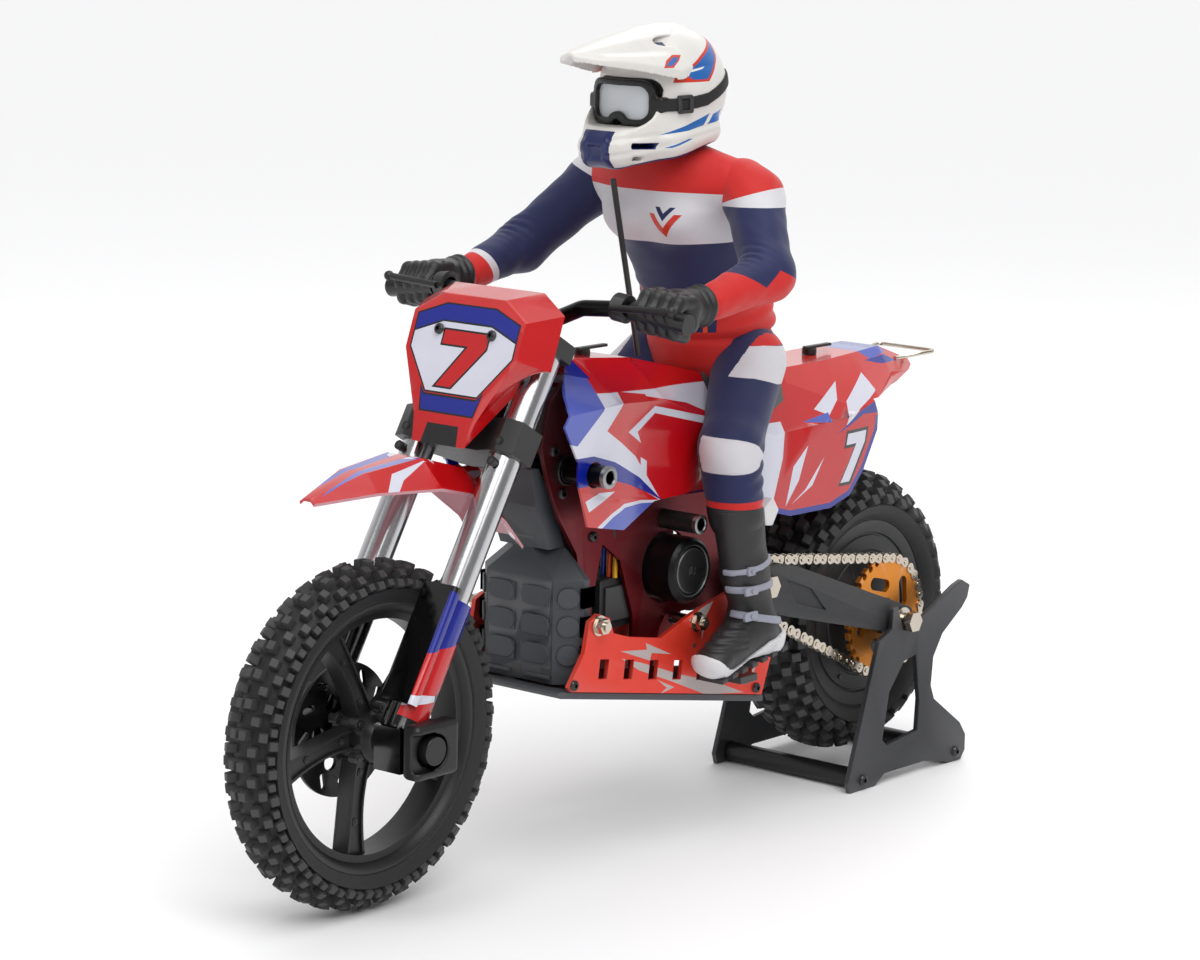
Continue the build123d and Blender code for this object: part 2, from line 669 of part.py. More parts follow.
with BuildPart() as lower_yoke:
    with BuildSketch(stem_plane(lower_low)):
        add(yoke_sketch(0))
    extrude(amount=LOWER_T)
    with BuildSketch(stem_plane(lower_low)):
        Circle(5.0)
    extrude(amount=(UPPER_MID - LOWER_MID) / math.cos(rake) + LOWER_T / 2 + UPPER_T / 2)
write(lower_yoke, "lower_yoke")

BAR_R, GRIP_R = 4.0, 5.2
bar_centre = stem_point(UPPER_MID, 8.0) + AXIS_UP * (UPPER_T / 2 + 7.0 + BAR_R)
BAR_POINTS = [(14.0, 0.0, 0.0), (38.0, 1.0, 10.0), (60.0, -6.0, 11.0), (97.0, -8.0, 6.5)]
with BuildPart() as handlebar:
    with BuildLine():
        bar_line = [bar_centre + Vector(dx, y, dz) for y, dx, dz in BAR_POINTS]
        FilletPolyline(bar_centre, *bar_line, radius=9)
    with BuildSketch(Plane(origin=bar_centre, x_dir=(1, 0, 0), z_dir=(0, 1, 0))):
        Circle(BAR_R)
    sweep()
    with BuildSketch(between(bar_line[3], bar_line[2])):
        Circle(GRIP_R)
    extrude(amount=33)
    mirror(about=Plane.XZ)
write(handlebar, "handlebar")

LEVER_BALL = (74.0, 91.9, 287.6)
with BuildPart() as levers:
    with BuildSketch(between(bar_line[2], bar_line[3]).offset(-6)):
        Circle(7)
        Circle(BAR_R, mode=Mode.SUBTRACT)
    extrude(amount=7)
    lever_root = bar_line[2] + Vector(8, -3, 1)
    with BuildSketch(between(tuple(lever_root), LEVER_BALL)):
        Circle(1.8)
    extrude(amount=(Vector(*LEVER_BALL) - lever_root).length)
    with Locations(Location(LEVER_BALL)):
        Sphere(2.6)
    add(handlebar.part, mode=Mode.SUBTRACT)
    mirror(about=Plane.XZ)
write(levers, "levers")

with BuildPart() as gloves:
    with Locations(Location(HAND)):
        Sphere(13.5)
    with Locations(Location((HAND[0] + 6, HAND[1] + 1, HAND[2] - 1))):
        Sphere(11.5)
    with Locations(Location((HAND[0] - 9, HAND[1], HAND[2] + 1))):
        Sphere(11)
    add(handlebar.part, mode=Mode.SUBTRACT)
    add(levers.part, mode=Mode.SUBTRACT)
    split(bisect_by=Plane(origin=(WRIST[0] + WRIST_R + 1.0, 0, 0), z_dir=(1, 0, 0)))
    mirror(about=Plane.XZ)
write(gloves, "gloves")

# Number board: a folded red shell, open at the back.
BOARD_TILT = 20.0
board_normal = Vector(math.cos(math.radians(BOARD_TILT)), 0, math.sin(math.radians(BOARD_TILT)))
board_plane = Plane(origin=(120.5, 0, 264.0), x_dir=(0, 1, 0), z_dir=board_normal)


def board_outline(grow, foot):
    with BuildSketch() as outline:
        with BuildLine():
            Polyline(
                (-20 - grow, 27 + grow), (20 + grow, 27 + grow), (36 + grow, 17 + grow), (36 + grow, -2),
                (20 + grow, foot + 13), (17 + grow, foot), (-17 - grow, foot), (-20 - grow, foot + 13),
                (-36 - grow, -2), (-36 - grow, 17 + grow), close=True,
            )
        make_face()
    return outline.sketch


with BuildPart() as number_board:
    with BuildSketch(board_plane.offset(-16)):
        add(board_outline(9.0, -16.0))
    with BuildSketch(board_plane):
        add(board_outline(0.0, -47.0))
    loft(ruled=True)
    with BuildSketch(board_plane.offset(-16)):
        add(board_outline(7.4, -18.0))
    with BuildSketch(board_plane.offset(-1.6)):
        add(board_outline(-1.6, -45.4))
    loft(ruled=True, mode=Mode.SUBTRACT)
write(number_board, "number_board")

# Front mudguard: a folded ridge over the wheel, from the tip to the two rear flaps.
FENDER = [
    (226.0, 205.0, 5.0, 2.0), (196.0, 214.0, 18.0, 8.0), (160.0, 217.5, 25.0, 13.0),
    (126.0, 208.0, 17.0, 12.0), (104.0, 190.0, 16.0, 10.0), (92.0, 172.0, 17.0, 6.0),
]
FENDER_T = 1.5


def fender_section(x, z, half, drop):
    with BuildSketch(Plane(origin=(x, 0, z), x_dir=(0, 1, 0), z_dir=(1, 0, 0))) as outline:
        with BuildLine():
            Polyline(
                (-half, -drop), (-half * 0.45, 0), (half * 0.45, 0), (half, -drop),
                (half - 0.6, -drop - FENDER_T), (half * 0.43, -FENDER_T), (-half * 0.43, -FENDER_T),
                (-half + 0.6, -drop - FENDER_T), close=True,
            )
        make_face()
    return outline.sketch


with BuildPart() as front_fender:
    loft([fender_section(*row) for row in FENDER], ruled=True)
    add(lower_yoke.part, mode=Mode.SUBTRACT)
    add(fork_tubes.part, mode=Mode.SUBTRACT)
write(front_fender, "front_fender")

# ---------------------------------------------------------------- lower legs, front axle and front wheel
FRONT_AXLE_HALF = 43.0
with BuildPart() as fork_legs:
    for leg_y in (FORK_Y, -FORK_Y):
        with BuildSketch(fork_plane(LEG_FOOT, leg_y)):
            Circle(LEG_R)
        extrude(amount=(LEG_TOP - LEG_FOOT) / math.cos(rake))
        with BuildSketch(fork_plane(LEG_FOOT + 10, leg_y)):
            with Locations((9.0, 0)):
                RectangleRounded(6, 22, 2.5)
        extrude(amount=(LEG_TOP - LEG_FOOT - 6) / math.cos(rake))
        with Locations(Location((FRONT_X, leg_y, FRONT_Z))):
            Box(26, 17, 22)
        with BuildSketch(fork_plane(LEG_FOOT, leg_y)):
            Circle(TUBE_R + RUN)
        extrude(amount=90, mode=Mode.SUBTRACT)
    with BuildSketch(axle_plane(FRONT_X, -FRONT_AXLE_HALF, FRONT_Z)):
        Circle(AXLE_R)
    extrude(amount=2 * FRONT_AXLE_HALF, mode=Mode.SUBTRACT)
write(fork_legs, "fork_legs")

with BuildPart() as front_axle:
    with BuildSketch(axle_plane(FRONT_X, -FRONT_AXLE_HALF, FRONT_Z)):
        Circle(AXLE_R)
    extrude(amount=2 * FRONT_AXLE_HALF)
    for cap_y in (-48.0, 40.0):
        with BuildSketch(axle_plane(FRONT_X, cap_y, FRONT_Z)):
            Circle(7)
        extrude(amount=8)
write(front_axle, "front_axle")

with BuildPart() as front_tyre:
    with BuildSketch(radial_plane(FRONT_X, FRONT_Z)):
        add(tyre_profile(FRONT_R, FRONT_HALF, FRONT_RIM_R, 12.0))
    revolve(axis=wheel_axis(FRONT_X, FRONT_Z))
write(front_tyre, "front_tyre")

HUB_R, SPOKES = 12.0, 5
with BuildSketch() as spoke_outline:
    with BuildLine():
        Spline((8, 5), (30, 14), (59, 17))
        Line((59, 17), (59, 6))
        Spline((59, 6), (32, 3), (8, -5))
        Line((8, -5), (8, 5))
    make_face()
with BuildPart() as front_rim:
    with BuildSketch(radial_plane(FRONT_X, FRONT_Z)):
        with BuildLine():
            Polyline(
                (-12, FRONT_RIM_R), (-12, FRONT_RIM_R - 3), (-8, FRONT_RIM_R - 8), (8, FRONT_RIM_R - 8),
                (12, FRONT_RIM_R - 3), (12, FRONT_RIM_R), (9.6, FRONT_RIM_R), (6.5, FRONT_RIM_R - 4.5),
                (-6.5, FRONT_RIM_R - 4.5), (-9.6, FRONT_RIM_R), close=True,
            )
        make_face()
    revolve(axis=wheel_axis(FRONT_X, FRONT_Z))
    with BuildSketch(axle_plane(FRONT_X, -13.0, FRONT_Z)):
        Circle(HUB_R)
    extrude(amount=26)
    for spoke in range(SPOKES):
        with BuildSketch(axle_plane(FRONT_X, -4.0, FRONT_Z)):
            add(spoke_outline.sketch.rotate(Axis.Z, spoke * 360 / SPOKES))
        extrude(amount=8)
    with BuildSketch(axle_plane(FRONT_X, -13.0, FRONT_Z)):
        Circle(AXLE_R + RUN)
    extrude(amount=26, mode=Mode.SUBTRACT)
write(front_rim, "front_rim")

with BuildPart() as brake_disc:
    with BuildSketch(axle_plane(FRONT_X, -15.0, FRONT_Z)):
        Circle(33)
        Circle(10, mode=Mode.SUBTRACT)
        with PolarLocations(27, 12):
            SlotCenterToCenter(5, 3, rotation=40, mode=Mode.SUBTRACT)
        with PolarLocations(17, 6):
            Circle(4, mode=Mode.SUBTRACT)
    extrude(amount=2)
write(brake_disc, "brake_disc")

# ---------------------------------------------------------------- painted body shells
SHELL_T = 1.3
# Each station: X, half width of the sides, height where the sides end, half width and height of the top.
TANK_STATIONS = [
    (96, 44, 233, 30, 249), (50, 43, 235, 12, 254.5), (10, 37, 232, 14, 251), (-46, 31, 212, 15, 238),
]
TAIL_STATIONS = [
    (-47.2, 31, 212, 15, 237.5), (-84, 36, 203, 17, 233), (-150, 36, 205, 17, 233.5),
    (-178, 34, 212, 15, 234.5), (-206, 22, 222, 12, 235.5), (-242, 12, 219, 8, 224),
]
SHELL_LOW = 140.0


def station(x, half, side_top, top_half, top, inset=0.0):
    with BuildSketch(Plane(origin=(x, 0, 0), x_dir=(0, 1, 0), z_dir=(1, 0, 0))) as outline:
        with BuildLine():
            Polyline(
                (inset - half, SHELL_LOW), (inset - half, side_top), (inset * 0.6 - top_half, top - inset),
                (top_half - inset * 0.6, top - inset), (half - inset, side_top), (half - inset, SHELL_LOW),
                close=True,
            )
        make_face()
    return outline.sketch


def shell(stations, outline_points):
    """The closed body of a painted shell, and the hollow inside it."""
    with BuildPart() as body:
        loft([station(*row) for row in stations], ruled=True)
        with BuildSketch(side_plane(60)):
            with BuildLine():
                Polyline(*outline_points, close=True)
            make_face()
        extrude(amount=120, mode=Mode.INTERSECT)
    with BuildPart() as hollow:
        loft([station(*row, inset=SHELL_T) for row in stations], ruled=True)
    return body, hollow


TANK_OUTLINE = [
    (93.7, 228), (82.7, 209.6), (83, 200.6), (74.8, 176.7), (45.5, 171.2), (17, 181.5), (-15, 181),
    (-46, 196), (-46, 260), (50, 260), (76, 247), (84, 241),
]
TAIL_OUTLINE = [
    (-47.2, 260), (-47.2, 197), (-70, 168), (-82, 162.5), (-99, 158), (-134.5, 157.6), (-152, 162.4),
    (-165, 174.4), (-178, 194.8), (-179, 202.8), (-174, 211.9), (-214, 215.5), (-240.6, 221.5), (-240.6, 260),
]
tank_body, tank_hollow = shell(TANK_STATIONS, TANK_OUTLINE)
tail_body, tail_hollow = shell(TAIL_STATIONS, TAIL_OUTLINE)

with BuildPart() as tank_shell:
    add(tank_body.part)
    add(tank_hollow.part, mode=Mode.SUBTRACT)
    with BuildSketch(Plane.XY.offset(150)):
        with BuildLine():
            Polyline((52, -9), (52, 9), (110, 52), (110, -52), close=True)
        make_face()
    extrude(amount=120, mode=Mode.SUBTRACT)
    for (bar_x, bar_z), radius in ((CRASH_UPPER, CRASH_UPPER_R), (CRASH_LOWER, CRASH_LOWER_R)):
        with BuildSketch(side_plane(60)):
            with Locations((bar_x, bar_z)):
                Circle(radius + 1.0)
        extrude(amount=120, mode=Mode.SUBTRACT)
write(tank_shell, "tank_shell")

with BuildPart() as tail_shell:
    add(tail_body.part)
    add(tail_hollow.part, mode=Mode.SUBTRACT)
write(tail_shell, "tail_shell")

POST_PLACES = [(30.0, 252.0), (-160.0, 233.8)]
with BuildPart() as shell_clips:
    for post_x, post_z in POST_PLACES:
        with Locations((post_x, 0, post_z + 1.9)):
            Cylinder(4.0, 3.0)
        with Locations((post_x - 7, 0, post_z + 4.1)):
            Box(22, 3.0, 1.4)
    add(tank_body.part, mode=Mode.SUBTRACT)
    add(tail_body.part, mode=Mode.SUBTRACT)
write(shell_clips, "shell_clips")

BAIL_WIRE = 1.1
with BuildPart() as tail_bail:
    with BuildLine():
        FilletPolyline(
            (-222, 13, 227), (-251, 20, 229), (-251, -20, 229), (-222, -13, 227),
            radius=3.5,
        )
    with BuildSketch(between((-222, 13, 227), (-251, 20, 229))):
        Circle(BAIL_WIRE)
    sweep()
    add(tail_body.part, mode=Mode.SUBTRACT)
write(tail_bail, "tail_bail")

ANTENNA_FOOT, ANTENNA_TIP = (-2.0, 10.0, 250.5), (20.6, 10.0, 341.2)
with BuildPart() as antenna:
    with BuildSketch(between(ANTENNA_FOOT, ANTENNA_TIP)):
        Circle(1.5)
    extrude(amount=(Vector(*ANTENNA_TIP) - Vector(*ANTENNA_FOOT)).length)
    add(tank_shell.part, mode=Mode.SUBTRACT)
write(antenna, "antenna")

# ---------------------------------------------------------------- wires, pegs and fasteners
WIRE_R = 1.2
with BuildPart() as motor_wires:
    for wire_y in (9.5, 13.5, 17.5):
        route = [(22, wire_y, 140.0), (21, wire_y, 178), (2, wire_y, 180), (-1.6, wire_y, 154.2)]
        with BuildLine():
            FilletPolyline(*route, radius=8)
        with BuildSketch(between(route[0], route[1])):
            Circle(WIRE_R)
        sweep()
write(motor_wires, "motor_wires")

PEG_TOP = 86.2
with BuildPart() as foot_pegs:
    with Locations((-38.0, 50.0, PEG_TOP - 2)):
        Box(14, 18, 4)
    with Locations((-38.0, 40.5, PEG_TOP - 3)):
        Box(8, 3.0, 6)
    mirror(about=Plane.XZ)
write(foot_pegs, "foot_pegs")

with BuildPart() as guard_nuts:
    for nut_x, nut_z in GUARD_NUTS:
        with BuildSketch(axle_plane(nut_x, FRAME_OUT, nut_z)):
            Circle(3.0)
        extrude(amount=GUARD_IN - FRAME_OUT)
        with BuildSketch(axle_plane(nut_x, GUARD_OUT, nut_z)):
            Circle(5.2)
        extrude(amount=1.0)
        with BuildSketch(axle_plane(nut_x, GUARD_OUT + 1.0, nut_z)):
            RegularPolygon(4.2, 6)
        extrude(amount=4.0)
        with BuildSketch(axle_plane(nut_x, GUARD_OUT + 5.0, nut_z)):
            Circle(2.4)
        extrude(amount=1.5)
    mirror(about=Plane.XZ)
write(guard_nuts, "guard_nuts")

with BuildPart() as frame_screws:
    for face_y, places in ((FRAME_OUT, SCREW_PLACES), (GUARD_OUT, GUARD_SCREWS)):
        for screw_x, screw_z in places:
            with BuildSketch(axle_plane(screw_x, face_y, screw_z)):
                Circle(2.6)
            extrude(amount=1.8)
            with BuildSketch(axle_plane(screw_x, face_y + 1.8, screw_z)):
                RegularPolygon(1.1, 6)
            extrude(amount=-1.0, mode=Mode.SUBTRACT)
    mirror(about=Plane.XZ)
write(frame_screws, "frame_screws")

# ---------------------------------------------------------------- rider
ARM_SWING, FOREARM_SWING = 25, 32
SHOULDER_AXIS, ELBOW_AXIS = (-0.437, 0.423, 0.794), (-0.384, 0.288, 0.878)
TORSO = [
    (234, -76, 29, 30), (256, -72, 32, 34), (270, -71, 31, 33), (285, -65, 31, 34), (305, -52, 29, 37),
    (323, -40, 26, 41), (336, -36, 21, 37), (346, -33, 17, 26), (355, -29, 13, 14),
]

left_upper_arm = limb(SHOULDER, ELBOW, SHOULDER_R, ELBOW_R)
arm_room = limb(SHOULDER, ELBOW, SHOULDER_R + GAP, ELBOW_R + GAP)
forearm_limb = limb(ELBOW, WRIST, ELBOW_R - 0.5, WRIST_R)
with BuildPart() as left_forearm:
    add(forearm_limb.part)
    for bend in range(-FOREARM_SWING, FOREARM_SWING + 1, 16):
        add(arm_room.part.rotate(Axis(ELBOW, ELBOW_AXIS), bend), mode=Mode.SUBTRACT)
    split(bisect_by=Plane(origin=(WRIST[0] + 4.5, 0, 0), z_dir=(1, 0, 0)), keep=Keep.BOTTOM)
write(left_upper_arm, "left_upper_arm")
write(left_forearm, "left_forearm")
with BuildPart() as right_upper_arm:
    add(mirror(left_upper_arm.part, about=Plane.XZ, mode=Mode.PRIVATE))
write(right_upper_arm, "right_upper_arm")
with BuildPart() as right_forearm:
    add(mirror(left_forearm.part, about=Plane.XZ, mode=Mode.PRIVATE))
write(right_forearm, "right_forearm")

with BuildPart() as rider_torso:
    for height, centre_x, radius_x, radius_y in TORSO:
        with BuildSketch(Plane(origin=(centre_x, 0, height))):
            Ellipse(radius_x, radius_y)
    loft()
    for swing in range(-ARM_SWING, ARM_SWING + 1, 10):
        swept = arm_room.part.rotate(Axis(SHOULDER, SHOULDER_AXIS), swing)
        add(swept, mode=Mode.SUBTRACT)
        add(mirror(swept, about=Plane.XZ, mode=Mode.PRIVATE), mode=Mode.SUBTRACT)
    add(tank_body.part, mode=Mode.SUBTRACT)
    add(tail_body.part, mode=Mode.SUBTRACT)
write(rider_torso, "rider_torso")

BOOT_IN, BOOT_OUT = 43.0, 65.0
with BuildPart() as boots:
    with BuildSketch(side_plane(BOOT_OUT)):
        with BuildLine():
            Polyline(
                (-9, 90.5), (-20, 86.5), (-66, 88.5), (-69, 99), (-60, 114), (-57, 135), (-47, 172),
                (-16, 173), (-24, 140), (-29, 122), (-20, 109), (-8, 100), close=True,
            )
        make_face()
    extrude(amount=BOOT_OUT - BOOT_IN)
    fillet(boots.edges().group_by(Axis.Y)[0] + boots.edges().group_by(Axis.Y)[-1], 4)
    mirror(about=Plane.XZ)
write(boots, "boots")

thigh = limb(HIP, KNEE, 18.5, 15.5)
shin = limb(KNEE, BOOT_TOP, 15.5, 13.5)
with BuildPart() as rider_legs:
    add(thigh.part)
    add(shin.part)
    for neighbour in (rider_torso, tank_body, tail_body, frame_plates, boots):
        add(neighbour.part, mode=Mode.SUBTRACT)
    mirror(about=Plane.XZ)
write(rider_legs, "rider_legs")

HELMET_C, HELMET_R = (-29.0, 0.0, 383.0), 34.0
PORT_LOW, PORT_HIGH, CHIN_LOW = 366.5, 390.0, 344.0
PORT_HALF, FRAME_ANGLE, LENS_ANGLE = 22.0, 38.0, 31.0
GOGGLE_C = (-27.0, 0.0)


def arc_band(inner, outer, half_angle):
    """Part of a ring round the helmet's front, seen from above."""
    with BuildSketch() as outline:
        with Locations(GOGGLE_C):
            Circle(outer)
            Circle(inner, mode=Mode.SUBTRACT)
        with BuildLine():
            reach = 2 * outer
            side = reach * math.sin(math.radians(half_angle))
            front = GOGGLE_C[0] + reach * math.cos(math.radians(half_angle))
            Polyline((GOGGLE_C[0], 0), (front, side), (front, -side), close=True)
        make_face(mode=Mode.INTERSECT)
    return outline.sketch


with BuildPart() as helmet:
    with Locations(Location(HELMET_C)):
        Sphere(HELMET_R)
    with BuildSketch(Plane.XY.offset(CHIN_LOW)):
        with Locations((-12, 0)):
            Ellipse(37, 25)
    extrude(amount=PORT_LOW - CHIN_LOW)
    with BuildSketch(side_plane(15)):
        with BuildLine():
            Polyline((-40, 413), (-6, 414), (44, 405.5), (44, 407.5), (-6, 417), (-36, 417), close=True)
        make_face()
    extrude(amount=30)
    split(bisect_by=Plane(origin=(0, 0, 350.0), z_dir=(0.22, 0, 1)))
    with Locations((20.5, 0, (PORT_LOW + PORT_HIGH) / 2)):
        Box(60, 2 * PORT_HALF, PORT_HIGH - PORT_LOW, mode=Mode.SUBTRACT)
    add(rider_torso.part, mode=Mode.SUBTRACT)
write(helmet, "helmet")

FRAME_LOW, FRAME_HIGH = PORT_LOW + 0.6, PORT_HIGH - 0.6
LENS_LOW, LENS_HIGH = FRAME_LOW + 3.5, FRAME_HIGH - 3.0
with BuildPart() as goggles:
    with BuildSketch(Plane.XY.offset(FRAME_LOW)):
        add(arc_band(27.5, 33.5, FRAME_ANGLE))
    extrude(amount=FRAME_HIGH - FRAME_LOW)
    with BuildSketch(Plane.XY.offset(LENS_LOW)):
        add(arc_band(20, 40, LENS_ANGLE))
    extrude(amount=LENS_HIGH - LENS_LOW, mode=Mode.SUBTRACT)
write(goggles, "goggles")

with BuildPart() as goggle_lens:
    with BuildSketch(Plane.XY.offset(LENS_LOW)):
        add(arc_band(30.4, 31.6, LENS_ANGLE))
    extrude(amount=LENS_HIGH - LENS_LOW)
write(goggle_lens, "goggle_lens")
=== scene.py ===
import json
import math

import bmesh
import bpy
import numpy as np
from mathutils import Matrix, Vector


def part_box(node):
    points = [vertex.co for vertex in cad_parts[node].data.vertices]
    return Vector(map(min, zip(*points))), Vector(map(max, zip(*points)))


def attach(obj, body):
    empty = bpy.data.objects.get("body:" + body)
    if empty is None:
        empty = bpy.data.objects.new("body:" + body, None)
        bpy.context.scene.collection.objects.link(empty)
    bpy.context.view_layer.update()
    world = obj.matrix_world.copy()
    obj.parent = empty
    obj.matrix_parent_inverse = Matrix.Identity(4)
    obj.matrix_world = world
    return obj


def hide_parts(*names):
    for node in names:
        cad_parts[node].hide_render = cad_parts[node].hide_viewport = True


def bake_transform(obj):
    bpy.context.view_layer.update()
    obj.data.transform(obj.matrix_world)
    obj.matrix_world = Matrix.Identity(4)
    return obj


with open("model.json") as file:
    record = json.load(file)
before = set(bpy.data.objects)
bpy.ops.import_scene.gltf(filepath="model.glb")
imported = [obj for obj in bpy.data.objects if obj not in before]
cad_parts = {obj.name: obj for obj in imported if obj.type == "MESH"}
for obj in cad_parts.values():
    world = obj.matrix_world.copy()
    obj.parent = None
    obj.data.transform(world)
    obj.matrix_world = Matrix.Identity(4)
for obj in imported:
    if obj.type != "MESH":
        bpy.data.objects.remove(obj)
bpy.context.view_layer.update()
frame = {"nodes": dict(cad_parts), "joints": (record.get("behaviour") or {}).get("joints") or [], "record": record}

import openvdb
from mathutils import Matrix, Vector, noise

# Looks of the quarter-scale motocross bike, its rider and its stand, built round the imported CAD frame.
# Helpers take millimetres and make metres; +X is forward, +Y is the bike's left, +Z is up.
MM = 0.001
SEED = 7
rng = np.random.default_rng(SEED)
NODES = frame["nodes"]
JOINTS = {joint["name"]: joint for joint in frame["joints"]}
BODY_OF = {node: body for body, nodes in frame["record"]["behaviour"]["bodies"].items() for node in nodes}


def joint_place(name):
    """A joint's place at rest, in millimetres."""
    return Vector(JOINTS[name]["pos_m"]) / MM


def box_mm(node):
    low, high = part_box(node)
    return low / MM, high / MM


FRONT_HUB = joint_place("front_wheel_spin")
REAR_HUB = joint_place("rear_wheel_spin")
PIVOT = joint_place("swingarm_pivot")
STEER = joint_place("steering")
STEER_UP = Vector(JOINTS["steering"]["axis"]).normalized()
STEER_AHEAD = Vector((STEER_UP.z, 0, -STEER_UP.x))
SHOULDER, ELBOW = joint_place("left_shoulder"), joint_place("left_elbow")
WRIST, HAND = Vector((30, 79, 286)), Vector((57, 79, 284))
FORK_AHEAD, FORK_SIDE = 16.0, 28.2


# ---------------------------------------------------------------- materials
def srgb(red, green, blue):
    """A display colour, 0 to 255, as a shader's linear colour, a little deepened for the pale studio."""
    return [((c / 255 + 0.055) / 1.055) ** 2.85 for c in (red, green, blue)]


def surface(name, color, rough=0.5, metal=0.0, coat=0.0, grain=0.15, grain_mm=0.8, drift=0.08,
            pale_edges=0.0, sheen=0.0, stretch=(1, 1, 1), specular=0.5):
    """A procedural surface: colour and roughness that drift, a fine grain as bump, and paler colour at sharp
    convex edges.
    """
    made = bpy.data.materials.new(name)
    made.use_nodes = True
    nodes, links = made.node_tree.nodes, made.node_tree.links
    shader = nodes["Principled BSDF"]
    place = nodes.new("ShaderNodeTexCoord")
    mapping = nodes.new("ShaderNodeMapping")
    mapping.inputs["Scale"].default_value = stretch
    links.new(place.outputs["Object"], mapping.inputs["Vector"])

    def cloud(size_mm, detail):
        texture = nodes.new("ShaderNodeTexNoise")
        texture.inputs["Scale"].default_value = 1.0 / (size_mm * MM)
        texture.inputs["Detail"].default_value = detail
        links.new(mapping.outputs["Vector"], texture.inputs["Vector"])
        return texture.outputs["Fac"]

    base = nodes.new("ShaderNodeMix")
    base.data_type = "RGBA"
    base.inputs["A"].default_value = [max(0, c * (1 - drift)) for c in color] + [1]
    base.inputs["B"].default_value = [min(1, c * (1 + drift)) for c in color] + [1]
    links.new(cloud(18, 4), base.inputs["Factor"])
    tint = base.outputs["Result"]
    # Colour turns paler where the surface is sharply convex (pointiness), by up to the given share.
    if pale_edges:
        edge = nodes.new("ShaderNodeNewGeometry")
        pick = nodes.new("ShaderNodeMapRange")
        pick.inputs["From Min"].default_value = 0.53
        pick.inputs["From Max"].default_value = 0.62
        pick.inputs["To Max"].default_value = pale_edges
        links.new(edge.outputs["Pointiness"], pick.inputs["Value"])
        pale_edge_mix = nodes.new("ShaderNodeMix")
        pale_edge_mix.data_type = "RGBA"
        pale_edge_mix.inputs["B"].default_value = [0.35 + 0.5 * c for c in color] + [1]
        links.new(pick.outputs["Result"], pale_edge_mix.inputs["Factor"])
        links.new(tint, pale_edge_mix.inputs["A"])
        tint = pale_edge_mix.outputs["Result"]
    links.new(tint, shader.inputs["Base Color"])
    gloss = nodes.new("ShaderNodeMapRange")
    gloss.inputs["To Min"].default_value = max(0.03, rough - 0.07)
    gloss.inputs["To Max"].default_value = min(1, rough + 0.07)
    links.new(cloud(3, 5), gloss.inputs["Value"])
    links.new(gloss.outputs["Result"], shader.inputs["Roughness"])
    if grain:
        bump = nodes.new("ShaderNodeBump")
        bump.inputs["Strength"].default_value = grain
        bump.inputs["Distance"].default_value = 0.3 * MM
        links.new(cloud(grain_mm, 3), bump.inputs["Height"])
        links.new(bump.outputs["Normal"], shader.inputs["Normal"])
    shader.inputs["Metallic"].default_value = metal
    shader.inputs["Specular IOR Level"].default_value = specular
    shader.inputs["Coat Weight"].default_value = coat
    shader.inputs["Coat Roughness"].default_value = 0.08
    shader.inputs["Sheen Weight"].default_value = sheen
    return made


def clear_surface(name, color, rough, alpha):
    """Thin clear plastic."""
    made = surface(name, color, rough=rough, grain=0.02, drift=0.02, coat=0.5)
    made.node_tree.nodes["Principled BSDF"].inputs["Alpha"].default_value = alpha
    return made
